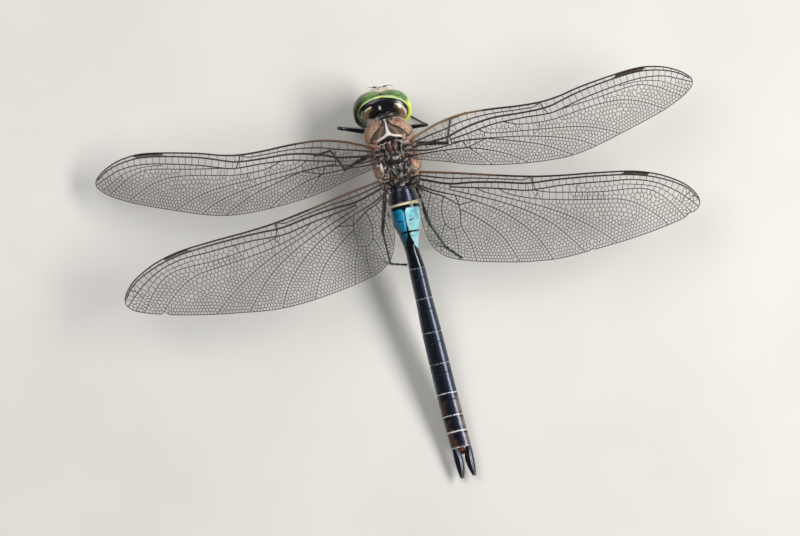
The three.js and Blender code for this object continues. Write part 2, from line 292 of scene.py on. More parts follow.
def settle(shader, values):
    """Sets sockets that are the same all over."""
    for name, value in values.items():
        shader.inputs[name].default_value = value


def fresh(name):
    """An empty material: its tree, principled shader and object coordinates."""
    material = bpy.data.materials.new(name)
    material.use_nodes = True
    tree = material.node_tree
    tree.nodes.clear()
    shader = node(tree, "BsdfPrincipled")
    node(tree, "OutputMaterial", {"Surface": shader.outputs[0]})
    place = node(tree, "TexCoord").outputs["Object"]
    return material, tree, shader, place


FRAY_SIZE, FRAY_REACH = 0.25, 0.16  # mm: the wander along a marking's edge, and across it
POLISHED_ROUGHNESS = 0.14


def cuticle(name, tones, mottle, marks=(), pits=0.1, depth=0.01, rough=(0.35, 0.5), coat=0.2,
            coat_rough=0.12, sheen=0.0, glint="#ffffff", cover_all=1.0, polished=None, coat_ior=1.5):
    """Insect cuticle. tones run from dark to pale, mottled at a size in mm. marks are (attribute,
    colour, soft edge in mm) laid over, where the attribute is the distance into the mark. pits and
    depth are the grain's size and depth in mm, rough the least and most worn roughness, glint the
    tint of the highlights and cover_all how opaque it is. The mark named polished is smoother."""
    material, tree, shader, place = fresh(name)
    cloud = node(tree, "TexNoise", {"Vector": place, "Scale": 1 / (mottle * MM), "Detail": 4.0,
                                    "Roughness": 0.6}).outputs["Fac"]
    stops = [(0.3 + 0.4 * i / max(1, len(tones) - 1), tone) for i, tone in enumerate(tones)]
    colour = node(tree, "ValToRGB", {"Fac": cloud}, stops=stops).outputs["Color"]
    fray = node(tree, "TexNoise", {"Vector": place, "Scale": 1 / (FRAY_SIZE * MM), "Detail": 2.0})
    gloss = None
    for attribute, shade, edge in marks:
        reach = node(tree, "Attribute", attribute_name=attribute).outputs["Fac"]
        frayed = node(tree, "Math", {0: fray.outputs["Fac"], 1: FRAY_REACH, 2: reach},
                      operation="MULTIPLY_ADD").outputs[0]
        border = FAR + FRAY_REACH / 2
        cover = node(tree, "MapRange", {"Value": frayed, "From Min": border - edge,
                                        "From Max": border + edge}).outputs[0]
        colour = node(tree, "MixRGB", {"Fac": cover, "Color1": colour,
                                       "Color2": linear(shade)}).outputs["Color"]
        if attribute == polished:
            gloss = node(tree, "MapRange", {"Value": cover, "To Min": coat_rough,
                                            "To Max": POLISHED_ROUGHNESS}).outputs[0]
    grain = node(tree, "TexVoronoi", {"Vector": place, "Scale": 1 / (pits * MM)}).outputs["Distance"]
    relief = node(tree, "Bump", {"Height": grain, "Strength": 0.6, "Distance": depth * MM})
    wear = node(tree, "MapRange", {"Value": fray.outputs["Fac"], "From Min": 0.3, "From Max": 0.7,
                                   "To Min": rough[0], "To Max": rough[1]}).outputs[0]
    tree.links.new(colour, shader.inputs["Base Color"])
    tree.links.new(wear, shader.inputs["Roughness"])
    tree.links.new(relief.outputs[0], shader.inputs["Normal"])
    settle(shader, {"IOR": 1.5, "Alpha": cover_all, "Specular Tint": linear(glint), "Coat Weight": coat,
                    "Coat Roughness": coat_rough, "Sheen Weight": sheen, "Coat IOR": coat_ior})
    if gloss is not None:
        tree.links.new(gloss, shader.inputs["Coat Roughness"])
        tree.links.new(gloss, shader.inputs["Roughness"])
    return material


# Compound eye: clear corneal lenses over green pigment, so it shines, browner on top. Its own paler
# yellow-green flank is kept to the lit right as painted light, the outer left is painted dark shade,
# and the lime rim along the nape carries a painted highlight.
eye_cornea = cuticle("corneal_lenses", ["#33501c", "#517a36", "#74a058"], 1.2,
                     [("brown", "#8f8558", 0.5), ("shade", "#222d0a", 0.9), ("rim", "#cfe0a4", 0.1),
                      ("flank", "#e6ec5c", 0.5)],
                     pits=0.12, depth=0.02, rough=(0.16, 0.26), coat=0.3, coat_rough=0.06)
# Hard black chitin of the nape: polished, with olive-tan cheeks, and a fine pale line outside them
# that is partly painted highlight.
nape_chitin = cuticle("polished_black_chitin", ["#020203", "#060508", "#0d0b11"], 0.7,
                      [("tan", "#6d5836", 0.3), ("mauve", "#6b4f4a", 0.35), ("pale", "#ded6bb", 0.08)],
                      pits=0.15, depth=0.02, rough=(0.14, 0.3), coat=0.35)
# Thin chitin of the face: waxy and cream, with a dark line along the brow's crest, a brown lip and
# lime edges to the small triangle between the eyes.
face_chitin = cuticle("waxy_face_chitin", ["#c6b69c", "#ddceb6", "#ece1d0"], 0.9,
                      [("line", "#160d1a", 0.05), ("lip", "#5b4a2a", 0.1), ("lime", "#d6df62", 0.1)],
                      pits=0.09)
# Matt brown thorax chitin under a thin bloom of hairs: pinkish brown with black seams, and a darker,
# oranger patch on the left flank that is painted shade.
thorax_chitin = cuticle("matt_brown_chitin", ["#6b4735", "#ab8368", "#d1b09b"], 0.8,
                        [("shade", "#503e30", 0.14), ("olive", "#806a52", 0.12), ("rust", "#95592d", 0.4),
                         ("cream", "#ded2cb", 0.08), ("black", "#020202", 0.06)],
                        pits=0.11, depth=0.014, rough=(0.4, 0.6), coat=0.15, sheen=0.03)
# Thick dark plates between the wings: faintly glossy, with pale ridges and streaks that are partly
# painted highlights.
plate_chitin = cuticle("dark_wing_plate_chitin", ["#050404", "#120e0d", "#2a211d"], 0.6,
                       [("brown", "#4d3628", 0.2), ("grey", "#2b2b27", 0.2), ("rust", "#86604e", 0.15),
                        ("black", "#030303", 0.08), ("pale", "#b3a89e", 0.09)],
                       pits=0.12, depth=0.02, rough=(0.3, 0.5), coat=0.25)
# Leg chitin: hard, black and polished, brown at the hips.
leg_chitin = cuticle("polished_leg_chitin", ["#030303", "#070606", "#110d0c"], 0.5,
                     [("brown", "#3f2416", 0.5)], rough=(0.18, 0.3), coat=0.5, glint="#c9d6ff")
# Blue rings: opaque pigment under smooth cuticle, sky blue to turquoise, with black markings. The pale
# cyan tones are painted light for the lit right side, and the azure and deep teal are painted shade.
blue_chitin = cuticle("turquoise_chitin", ["#74d2e2", "#a6eaee", "#d2fbf8"], 1.6,
                      [("azure", "#0788b4", 0.5), ("deep", "#05404b", 0.5), ("black", "#020305", 0.06),
                       ("yellow", "#d3c6a0", 0.07)],
                      pits=0.09, depth=0.008, coat=0.4, coat_rough=0.34, polished="black", coat_ior=1.4,
                      glint="#d6ecf6")
# Dark rings: black-brown cuticle with a blue-grey bloom and dull side patches, and pale joint rings
# that are partly pale membrane and partly painted highlight.
ring_chitin = cuticle("bloomed_black_chitin", ["#030304", "#07090d", "#10141c"], 0.8,
                      [("patch", "#2b2f34", 0.35), ("brown", "#4e3023", 0.3), ("tan", "#6d5a52", 0.35),
                       ("pale", "#cdcec8", 0.05), ("black", "#020203", 0.08)],
                      pits=0.14, depth=0.02, rough=(0.24, 0.36), coat=0.9, coat_rough=0.2,
                      glint="#b4cbff", coat_ior=1.36)
# Claspers: the hardest, most polished chitin on the animal.
clasper_chitin = cuticle("clasper_chitin", ["#030303", "#080606", "#120d0c"], 0.6,
                         [("rust", "#70341d", 0.15)], pits=0.13, depth=0.012, rough=(0.14, 0.22),
                         coat=0.8, coat_rough=0.08, glint="#c9d6ff")
# Wing veins: dry tubes of dark chitin, yellow-brown near the root of the leading edge.
vein_chitin = cuticle("wing_vein_chitin", ["#120d0b", "#1f1712", "#2f231a"], 0.5,
                      [("tan", "#8a6438", 0.3)], pits=0.08, depth=0.008, rough=(0.3, 0.5), coat=0.3)
# Hairs: fine, dry and grey-white, drawn a little thicker than real ones so that they show.
hair_keratin = cuticle("pale_hair", ["#8d857a", "#b9b2a6", "#d8d3ca"], 0.5, pits=0.05, depth=0.002,
                       rough=(0.5, 0.7), coat=0.0, sheen=0.3)


def wing_film():
    """Wing membrane: a clear dry film of chitin, faintly smoky, that glints cell by cell."""
    material, tree, shader, place = fresh("clear_wing_film")
    smoke = node(tree, "TexNoise", {"Vector": place, "Scale": 1 / (6 * MM), "Detail": 3.0}).outputs["Fac"]
    colour = node(tree, "ValToRGB", {"Fac": smoke},
                  stops=[(0.35, "#454039"), (0.65, "#352e26")]).outputs["Color"]
    root = node(tree, "Attribute", attribute_name="root").outputs["Fac"]
    tinted = node(tree, "MixRGB", {"Fac": root, "Color1": colour, "Color2": linear("#5e3d22")})
    body = node(tree, "MapRange", {"Value": smoke, "From Min": 0.35, "From Max": 0.65, "To Min": 0.07,
                                   "To Max": 0.13}).outputs[0]
    cover = node(tree, "Math", {0: root, 1: 0.2, 2: body}, operation="MULTIPLY_ADD").outputs[0]
    ripple = node(tree, "TexNoise", {"Vector": place, "Scale": 1 / (0.5 * MM), "Detail": 2.0})
    relief = node(tree, "Bump", {"Height": ripple.outputs["Fac"], "Strength": 0.5,
                                 "Distance": 0.03 * MM}).outputs[0]
    tree.links.new(tinted.outputs[0], shader.inputs["Base Color"])
    tree.links.new(cover, shader.inputs["Alpha"])
    tree.links.new(relief, shader.inputs["Normal"])
    settle(shader, {"Roughness": 0.18, "IOR": 1.56, "Coat Weight": 1.0, "Coat Roughness": 0.08})
    return material


clear_film = wing_film()
# Pterostigma: a thick brown window of pigmented membrane between two veins.
stigma_film = cuticle("stigma_membrane", ["#2a1d15", "#3f2e23", "#574335"], 0.8, rough=(0.3, 0.45),
                      coat=0.4)
# Membranule: a milky grey-white flap at the hindwing's root.
flap_film = cuticle("membranule", ["#77736b", "#a09b91", "#c4beb3"], 0.8, rough=(0.4, 0.6),
                    cover_all=0.28)


# ---- Head: x across, y towards the face, z towards the crown ----
UPRIGHT_HEAD = (Matrix.Translation(at(HEAD_BACK, HEAD_SIDE, HEAD_HEIGHT))
                @ Matrix.Rotation(-HEAD_TURN, 4, "Z"))
HEAD = UPRIGHT_HEAD @ Matrix.Rotation(-HEAD_BOW, 4, "X")
HEAD_AXES = HEAD.to_3x3().to_4x4()  # the head's turn alone


def on_head(across, face, crown):
    """A place on the head, in metres."""
    return HEAD @ Vector((across * MM, face * MM, crown * MM))


def cut_away(bm, point, outward):
    """Cuts off what lies beyond a plane and closes the cut."""
    cut = bmesh.ops.bisect_plane(bm, geom=[*bm.verts, *bm.edges, *bm.faces], plane_co=point,
                                 plane_no=outward, clear_outer=True, dist=1e-7)
    rim = [part for part in cut["geom_cut"] if isinstance(part, bmesh.types.BMEdge)]
    bmesh.ops.edgeloop_fill(bm, edges=rim)


def make_eyes():
    """Two swollen corneas that meet at the middle, cut flat there and flattened at the nape."""
    width, depth, height = EYE_HALVES
    for word, hand in SIDES:
        def place(turn, run):
            ring, crown = sin(pi * run), cos(pi * run)
            wide = ring if crown > 0 else (1 + crown ** 3) ** (1 / 3)  # fuller at the cheek
            y = depth * ring * sin(turn)
            if y < NAPE_PLANE:
                y = NAPE_PLANE + 0.1 * (y - NAPE_PLANE)  # the back is nearly flat, against the nape
            return Vector((hand * EYE_OFFSET + width * wide * cos(turn), y, height * crown))

        def rim(x, y, z):
            """The lime edge along the nape's plate, its own colour, widened at the top right by a painted
            highlight and thinned low on the left by painted shade.
            """
            outward = NAPE_WIDTH * (hypot((x - NAPE_SIDE) / NAPE_WIDTH, z / NAPE_HEIGHT) - 1)
            wide = 0.34 - 0.13 * max(0.0, -x - z) + 0.2 * bump(x - 2.2, 1.2) * clamp(z)
            return max(0.05, wide) - hypot(max(0.0, outward), max(0.0, y - NAPE_PLANE))

        # Painted light: the eye's own paler yellow-green flank, kept to the right eye only, the lit side.
        def flank(x, y, z):
            return min(x - 3.3, 1.5 - z, 0.7 - y, z + 2.9)

        # Painted shade: the outer part of the left eye darkened to dark olive.
        def shade(x, y, z):
            return -x - 3.2

        def brown(x, y, z):
            return 0.7 * y + 0.7 * z - 2.88

        bm = shell(112, 96, place, marks_at(place, rim, flank, shade, brown))
        cut_away(bm, (hand * 0.02, 0, 0), (-hand, 0, 0))
        bm.transform(HEAD @ Matrix.Diagonal((MM, MM, MM, 1)))
        piece(f"eye_{word}_cornea", bm, eye_cornea, [f"eye_{word}"], crease=40)


def make_nape():
    """The back of the head: a domed plate with hollow centre and full cheeks, and the capsule
    that reaches forward from it under the eyes."""
    def spot(turn, run):
        ring = min(1.0, sin(pi * run)) ** 0.8
        return NAPE_WIDTH * ring * cos(turn), NAPE_HEIGHT * ring * sin(turn)

    def polar(turn, run):
        """How near the plate's rim a place is, its angle up from the side, and if it is right."""
        x, z = spot(turn, run)
        x, z = abs(x) / NAPE_WIDTH, z / NAPE_HEIGHT
        reach, angle = (hypot(x, z), atan2(z, x)) if run < 0.5 else (2.0, 0.0)
        return reach, angle, cos(turn) > 0

    outwards, round_ = 3.6, 2.4  # mm to a whole reach, and to a radian of angle

    def tan(reach, angle, right):
        """The cheeks."""
        outer = (0.88 if right else 0.82) - 0.05 * max(0.0, angle)
        inner = 0.61 + 0.08 * max(0.0, angle)
        return min(outwards * (outer - reach), outwards * (reach - inner), round_ * (0.85 - abs(angle)))

    def mauve(reach, angle, right):
        """The lower part of each cheek."""
        return min(tan(reach, angle, right) - 0.15, round_ / 2 * (0.05 - angle))

    def pale(reach, angle, right):
        """A fine pale line outside each cheek: the cheek's own pale edge, made longer on the lit right by a
        painted highlight.
        """
        low, outer = (-0.3, 0.9) if right else (0.45, 0.85)
        across = abs(reach + 0.05 * max(0.0, angle) - outer + 0.022)
        return min(outwards * (0.024 - across), round_ / 2 * (angle - low), round_ * (0.95 - angle))

    def place(turn, run):
        x, z = spot(turn, run)
        if run > 0.5:
            return on_head(0.9 * x + NAPE_SIDE, NAPE_PLANE - 1.2 * cos(pi * run), 0.9 * z)
        swell = 1.2 * cos(pi * run)
        swell += 0.28 * clamp(1.6 * tan(*polar(turn, run)) + 0.3)
        swell -= 0.35 * bump(x, 1.0) * bump(z - 1.9, 0.7)
        swell += 0.2 * bump(abs(x) - 0.9, 0.5) * bump(z - 1.5, 0.6)
        return on_head(x + NAPE_SIDE, NAPE_PLANE - swell, z)

    bm = shell(112, 80, place, marks_at(polar, tan, mauve, pale))
    dome(bm, on_head(0, 0.35, -1.1), (2.15, 2.4, 2.3), HEAD_AXES, 32, 20)
    piece("nape_plate", bm, nape_chitin, ["head"])

    # The small triangle where the eyes meet: black, edged with yellow
    bm = marked("line", "lime")
    for reach, lift, shade in ((1.2, 0.02, -1.0), (0.86, 0.1, 1.0)):
        seat = (HEAD @ Matrix.Translation(Vector((0, 0.05 * MM, (2.93 + lift) * MM)))
                @ Matrix.Rotation(radians(-6), 4, "X") @ Matrix.Diagonal((0.72, 1, 1, 1)))
        made = bmesh.ops.create_cone(bm, cap_ends=True, segments=3, radius1=reach * MM,
                                     radius2=0.9 * reach * MM, depth=0.3 * MM, matrix=seat)
        keep_mark(bm, made["verts"], "line", shade)
        keep_mark(bm, made["verts"], "lime", -shade)
    bmesh.ops.bevel(bm, geom=bm.edges[:], offset=0.04 * MM, segments=2, affect="EDGES", profile=0.5,
                    material=-1)
    piece("occipital_triangle", bm, face_chitin)


def make_face():
    """Brow, nose plate, lip, jaws and the swelling with the three simple eyes."""
    soft = 0.15

    def plate(centre, halves, low, high, square, **marks):
        """A swelling kept between two heights by soft ledges. marks take a point on it."""
        def local(turn, run):
            across = cos(pi * run)
            ring = (1 - abs(across) ** square) ** 0.5
            z = centre[2] + halves[2] * ring * sin(turn)
            z = low + soft * log1p(exp((z - low) / soft))
            z = high - soft * log1p(exp((high - z) / soft))
            y = centre[1] + halves[1] * ring * cos(turn)
            return Vector((centre[0] + halves[0] * across, max(y, 0.2), z))

        return shell(64, 64, lambda turn, run: on_head(*local(turn, run)),
                     {name: (lambda turn, run, f=f: f(local(turn, run))) for name, f in marks.items()})

    frons = plate((-0.1, 1.95, 0.75), (2.3, 2.85, 1.6), -0.35, 3.0, 2.2, line=lambda p: AWAY)
    crest = []
    for step in range(25):
        across = -1.7 + 3.2 * step / 24
        swell = sqrt(1 - (across / 2.3) ** 2)
        crest.append((on_head(across - 0.1, 1.97 + 2.32 * swell, 0.76 + 0.94 * swell), 0.05))
    tubes(frons, [crest], 8, ("line", 0.3))
    piece("frons_plate", frons, face_chitin, ["frons"])
    clypeus = plate((0, 1.3, -1.0), (2.5, 2.75, 2.1), -1.75, -0.45, 2.6,
                    lip=lambda p: 0.07 - abs(p.z + 1.25))
    piece("clypeus_plate", clypeus, face_chitin, ["clypeus"])
    labrum = plate((0, 0.7, -2.2), (2.5, 2.3, 1.75), -5.0, -1.85, 2.4, lip=lambda p: -3.0 - p.z)
    piece("labrum_plate", labrum, face_chitin, ["labrum"])

    bm = marked("brown")
    for hand in (-1, 1):
        dome(bm, on_head(hand * 2.2, 0.5, -2.5), (0.7, 1.2, 0.9), HEAD_AXES, mark=("brown", 0.3))
        dome(bm, on_head(hand * 1.1, -0.6, -3.0), (1.15, 1.1, 0.55), HEAD_AXES, mark=("brown", 0.1))
    dome(bm, on_head(0, -0.3, -3.2), (0.9, 1.0, 0.45), HEAD_AXES, mark=("brown", 0.0))
    piece("jaws", bm, leg_chitin)

    bm = marked("line")
    dome(bm, on_head(0, 2.6, 2.1), (0.5, 0.45, 0.36), HEAD_AXES)
    for side, face, crown in ((0, 2.9, 2.38), (-0.42, 2.7, 2.2), (0.42, 2.7, 2.2)):
        dome(bm, on_head(side, face, crown), (0.12, 0.12, 0.12), mark=("line", 1.0))
    piece("vertex_with_ocelli", bm, face_chitin)


def make_antennae():
    """A stout base joint and a bristle of a few joints, each a little thinner."""
    route = [(0.55, 3.8, -0.3), (1.4, 3.93, -0.45), (2.0, 3.88, -1.0), (2.3, 3.72, -2.0), (2.32, 3.6, -3.05)]
    girth = profile((0, 0.12), (0.12, 0.12), (0.2, 0.05), (1, 0.02))
    for word, hand in SIDES:
        spots = [UPRIGHT_HEAD @ Vector((hand * x * MM, y * MM, z * MM)) for x, y, z in route]
        line = smooth_line(spots, 0.1 * MM)
        strand = []
        for i, point in enumerate(line):
            run = i / (len(line) - 1)
            joint = 0.02 * cos(2 * pi * 7 * run)
            strand.append((point, girth(run) + joint * (1 - run)))
        bm = bmesh.new()
        tubes(bm, [strand], 10)
        piece(f"feeler_{word}", bm, leg_chitin, [f"antenna_{word}"])


# ---- Thorax ----
thorax_width = profile((-7.2, 2.5), (-6.4, 3.35), (-5.2, 4.0), (-3.6, 4.2), (-1, 4.15), (1.5, 4.1),
                       (3.4, 3.5), (4.7, 2.6))
thorax_top = profile((-7.2, 9.6), (-6.2, 11.1), (-4.8, 12.6), (-3.4, 13.3), (-1, 13.2), (1.5, 12.9),
                     (3.4, 12.4), (4.7, 11.2))
thorax_bottom = profile((-7.2, 7.4), (-6.4, 6.3), (-5.2, 4.9), (-4.0, 4.4), (-1, 4.2), (1.5, 4.3),
                        (3.4, 5.2), (4.7, 6.3))
ARC_RADIUS = 4.2  # the thorax's girth as a circle, for distances round it


def round_line(*spots):
    """A line on the thorax as flat points in mm, from back and the angle down from its top."""
    return [(back, down * ARC_RADIUS) for back, down in spots]


# Seams on each flank, the shoulder's first, and an arm of the pale keel
SEAMS = [
    round_line((-7.05, 0.1), (-6.0, 0.25), (-5.2, 0.58), (-3.9, 0.86), (-3.45, 0.74)),
    round_line((-3.6, 0.9), (-4.1, 1.3), (-4.9, 1.8), (-5.6, 2.3)),
    round_line((-0.9, 0.95), (-1.6, 1.4), (-2.6, 1.9), (-3.4, 2.5)),
    round_line((2.6, 0.95), (1.9, 1.4), (0.8, 1.9), (-0.3, 2.5)),
    round_line((-5.8, 2.35), (-3.4, 2.5), (-0.3, 2.5), (2.6, 2.3)),
]
ARM = round_line((-4.55, 0.0), (-4.42, 0.09), (-4.13, 0.22), (-3.98, 0.36), (-3.72, 0.5))


def keel_width(back):
    """Half the width of the pale keel down the front of the thorax, which flares into two arms."""
    return 0.14 + 0.07 * max(0.0, back + 7) + 0.32 * bump(back + 4.35, 0.42)


def thorax_spot(turn, run):
    """Back, angle down from the middle of the back, and how far open the section is."""
    along, opened = capped(run, 0.06)
    down = abs(remainder(turn - pi / 2, 2 * pi))
    return THORAX_FRONT + 0.02 + (THORAX_REAR - THORAX_FRONT - 0.04) * along, down, opened


def thorax_point(turn, run):
    """Back, side and height of a place on the thorax, with its seams, keel and hollow."""
    back, down, opened = thorax_spot(turn, run)
    seam = min(way_to_line((back, down * ARC_RADIUS), line) for line in SEAMS)
    keel = bump(down * ARC_RADIUS, 0.22) * clamp((-4.3 - back) / 0.4)
    inward = 0.12 * bump(seam, 0.16) - 0.16 * keel
    # Between the wings the back is sunk, and the plates stand in the hollow
    sunk = clamp((back + 3.9) / 0.8) * max(0.0, cos(down)) ** 1.5
    top, bottom = thorax_top(back) - 0.13, thorax_bottom(back)
    middle, half = (top + bottom) / 2, (top - bottom) / 2
    side = (thorax_width(back) - inward) * opened * cos(turn) - 0.25 * clamp(-back / 5)
    height = middle + (half - inward) * opened * sin(turn) - sunk * opened
    return back, side, height


def make_thorax():
    """The winged part of the thorax, then the neck shield in front of it."""
    shoulder_seam = profile(*SEAMS[0][:4])

    def flat(turn, run):
        back, down, _ = thorax_spot(turn, run)
        return back, down * ARC_RADIUS, cos(turn) > 0

    def black(back, arc, right):
        """Seams, a line along each side of the keel, and the hollow between the wings."""
        near = min(way_to_line((back, arc), line) for line in SEAMS)
        beside = abs(arc - keel_width(back) - 0.14) if back < -4.7 else 9.0
        arms = -4.42 + 0.3 * arc + 0.16
        hollow = min(back - arms, 3.0 - arc + 0.2 * back) if back < 4 else 0.5
        thick = 0.17 if back < -3.2 and arc < 4 else 0.12
        return max(thick - near, 0.1 - beside, min(hollow, 0.6) - 0.05)

    def cream(back, arc, right):
        """The keel and its two arms."""
        keel = keel_width(back) - arc if back < -4.3 else AWAY
        return max(keel, 0.17 - way_to_line((back, arc), ARM))

    def shade(back, arc, right):
        return min(shoulder_seam(back) - arc, -3.9 - back) - 0.05

    def olive(back, arc, right):
        """A streak down the middle of each shoulder."""
        streak = 0.22 - abs(arc - 0.45 * shoulder_seam(back) - 0.2)
        return min(streak, 0.6 * (back + 6.1), -4.3 - back + 0.2 * arc)

    # Painted shade: the left flank, the shaded side, made darker and oranger; the right has none.
    def rust(back, arc, right):
        return AWAY if right else 1.0 - hypot((back + 4.9) / 1.5, (arc - 5.0) / 1.2)

    bm = shell(144, 112, lambda turn, run: at(*thorax_point(turn, run)),
               marks_at(flat, black, cream, shade, olive, rust))
    piece("pterothorax", bm, thorax_chitin, ["mesothorax", "metathorax"])

    # The neck shield, with its raised rear lobe
    def collar(turn, run):
        along, opened = capped(run, 0.18)
        back = -8.35 + 1.5 * along
        lobe = 0.35 * bump(along - 0.8, 0.16) + 0.15 * bump(along - 0.25, 0.15)
        half_width, half_height = 1.35 + 0.75 * along + lobe, 0.8 + 0.6 * along + lobe
        return at(back, half_width * opened * cos(turn), 8.45 + 0.1 * along
                  + half_height * opened * sin(turn))

    def flecks(turn, run):
        along = capped(run, 0.18)[0]
        return 0.8 * noise_at(5 * turn, 9 * along, 0) - 0.35 + 0.3 * bump(along - 0.85, 0.12)

    bm = shell(64, 32, collar, {"pale": flecks, "brown": lambda turn, run: capped(run, 0.18)[0] - 0.86})
    piece("pronotum", bm, plate_chitin, ["prothorax"])


# Raised plates between the wings: back, side, half length, half width, rise, turn in degrees, tone
PLATES = [
    (-2.45, 0.55, 1.0, 0.52, 0.75, 5, "brown"), (-1.95, 1.42, 1.15, 0.4, 0.55, 10, "black"),
    (-3.4, 0.85, 0.3, 0.85, 0.45, -14, "black"), (-0.4, 0.0, 0.5, 0.85, 0.62, 0, "grey"),
    (-0.45, 1.3, 0.35, 0.5, 0.4, 25, "brown"), (0.42, 0.0, 0.17, 1.9, 0.42, 0, "black"),
    (1.6, 0.6, 1.0, 0.52, 0.68, 5, "grey"), (1.7, 1.45, 0.95, 0.36, 0.5, 12, "black"),
    (3.0, 0.0, 0.4, 0.7, 0.55, 0, "brown"), (2.9, 1.15, 0.4, 0.42, 0.4, 20, "grey"),
    (3.85, 0.0, 0.32, 1.8, 0.4, 0, "black"), (-2.9, 2.05, 0.28, 0.5, 0.45, 10, "rust"),
    (-1.4, 2.15, 0.4, 0.4, 0.4, -20, "brown"), (-0.4, 2.2, 0.4, 0.4, 0.35, 20, "black"),
    (0.9, 2.1, 0.35, 0.45, 0.35, 0, "brown"), (2.5, 2.05, 0.45, 0.45, 0.4, -15, "rust"),
]


def make_wing_plates():
    """The sculptured plates between the wings, then the knobs and cords of the wing hinges."""
    def spot(turn, run):
        ring = sin(pi * run) ** 0.7
        return 0.45 + 4.2 * ring * sin(turn), 2.65 * ring * cos(turn)

    def highest(turn, run):
        """The plate that stands highest here, its height, and its lead over the next."""
        back, side = spot(turn, run)
        heights = []
        for at_back, at_side, half_back, half_side, rise, angle, tone in PLATES:
            off = abs(side) - at_side if at_side else side
            c, n = cos(radians(angle)), sin(radians(angle))
            u = ((back - at_back) * c - off * n) / half_back
            v = ((back - at_back) * n + off * c) / half_side
            reach = u * u + v * v
            heights.append((rise * sqrt(1 - reach) if reach < 1 else 0.12 * (1 - reach), tone))
        heights.sort(reverse=True)
        return heights[0][1], max(heights[0][0], -0.25), heights[0][0] - heights[1][0]

    def grain(back, side, size):
        return noise.noise(Vector((back, side, 3.0)) / size)

    def place(turn, run):
        back, side = spot(turn, run)
        if run > 0.5:
            return at(back, side, 10.9)
        lift = 0.85 * highest(turn, run)[1] + 0.12 * grain(back, side, 0.45)
        lift += 0.07 * grain(back, side, 0.2) - 0.08 * abs(grain(side, back, 0.8))
        base = thorax_top(back) - 0.95 - 0.09 * side * side
        edge = max(0.0, sin(pi * run) - 0.9) * 10
        return at(back, side, min((base + lift) * (1 - edge ** 4) + 10.9 * edge ** 4, 13.15))

    def toned(name):
        def value(turn, run):
            tone, _, lead = highest(turn, run)
            return min(1.2 * lead - 0.05, 0.4) if tone == name else AWAY
        return value

    def pale(turn, run):
        """Pale streaks that run along the plates: partly pale ridges of their own, partly painted
        highlights.
        """
        back, side = spot(turn, run)
        streak = 0.1 - abs(noise_at(0.9 * back + 0.4 * side, 2.2 * side, 5.0))
        return 0.9 * streak - 0.7 * max(0.0, 0.16 - noise_at(1.3 * back, 1.5 * side, 9.0))

    marks = {name: toned(name) for name in ("brown", "grey", "rust")}
    marks["pale"] = pale
    marks["black"] = lambda turn, run: 0.1 - 1.5 * highest(turn, run)[2]
    piece("notum", shell(224, 150, place, marks), plate_chitin)

    bm = marked("brown", "grey", "rust", "pale", "black")
    # Knobs of the hinges: back, side, height, half length, half width, turn, tone. The longest is
    # pale on the left only.
    for back, side, height, half_back, half_side, turn, tone in (
            (-2.8, 2.5, 12.4, 0.26, 0.6, 0, "rust"), (-1.95, 2.7, 12.3, 0.22, 0.7, 6, "black"),
            (-1.1, 2.7, 12.15, 0.26, 0.6, 5, "black"), (-0.6, 2.5, 12.05, 0.3, 0.4, -25, "brown"),
            (-0.1, 2.8, 11.95, 0.4, 0.3, -30, "black"), (0.65, 2.7, 11.8, 1.1, 0.34, 4, "rust"),
            (2.6, 2.6, 11.85, 0.32, 0.55, 0, "brown"), (3.45, 2.8, 11.8, 0.22, 0.6, 0, "black"),
            (3.95, 2.5, 11.65, 0.24, 0.5, -12, "brown"), (4.5, 2.75, 11.5, 0.22, 0.55, -10, "black"),
            (5.1, 2.5, 11.25, 0.3, 0.55, -25, "brown")):
        for hand in (-1, 1):
            spin = Matrix.Rotation(radians(-hand * turn), 4, "Z")
            shade = "pale" if hand < 0 and half_back > 1 else tone
            knob = dome(bm, at(back, hand * side, height), (half_side, half_back, 0.26), spin, 20, 14,
                        (shade, 0.3))
            for vert in knob:
                vert.co += Vector((0, 0, 0.12 * MM * noise.noise(vert.co / (0.3 * MM))))

    def cord(spots, radius):
        """A smooth line of points and their radius in mm."""
        return [(p, radius) for p in smooth_line([at(*spot) for spot in spots], 0.15 * MM)]

    # Pale ridges of the hinges, and the soft cords that hold the trailing roots of the wings
    cords = []
    for hand in (-1, 1):
        for line, radius in (
                ([(-3.3, 0.9, 12.55), (-3.0, 1.35, 12.62), (-3.05, 2.0, 12.6)], 0.11),
                ([(-2.5, 2.0, 12.5), (-2.3, 2.5, 12.5), (-2.45, 3.0, 12.5)], 0.07),
                ([(-1.65, 2.2, 12.38), (-1.45, 2.65, 12.38), (-1.6, 3.05, 12.4)], 0.08),
                ([(-0.75, 1.9, 12.2), (-0.85, 2.3, 12.25), (-0.6, 2.7, 12.2)], 0.06),
                ([(1.45, 1.6, 12.1), (1.9, 1.75, 12.15), (2.35, 1.65, 12.1)], 0.06),
                ([(3.3, 1.9, 11.95), (3.12, 2.35, 12.0), (3.3, 2.75, 12.0)], 0.09),
                ([(4.35, 1.9, 11.55), (4.15, 2.25, 11.65), (4.3, 2.6, 11.7)], 0.07),
                ([(-0.9, 2.3, 12.2), (0.0, 2.9, 12.0), (0.5, 3.4, 12.2)], 0.12),
                ([(1.6, 2.4, 11.9), (2.4, 2.9, 11.8), (2.9, 3.5, 11.95)], 0.12),
                ([(4.7, 2.3, 11.2), (5.6, 2.8, 11.2), (6.3, 3.4, 11.7)], 0.16)):
            cords.append(cord([(b, hand * across, h) for b, across, h in line], radius))
    tubes(bm, cords, 8, ("pale", 0.03))
    front_right = [(-3.1, 1.3, 12.64), (-2.7, 1.75, 12.72), (-2.6, 2.4, 12.66), (-2.65, 2.9, 12.5)]
    tubes(bm, [cord(front_right, 0.13)], 8, ("pale", 0.4))
    piece("wing_hinges", bm, plate_chitin)


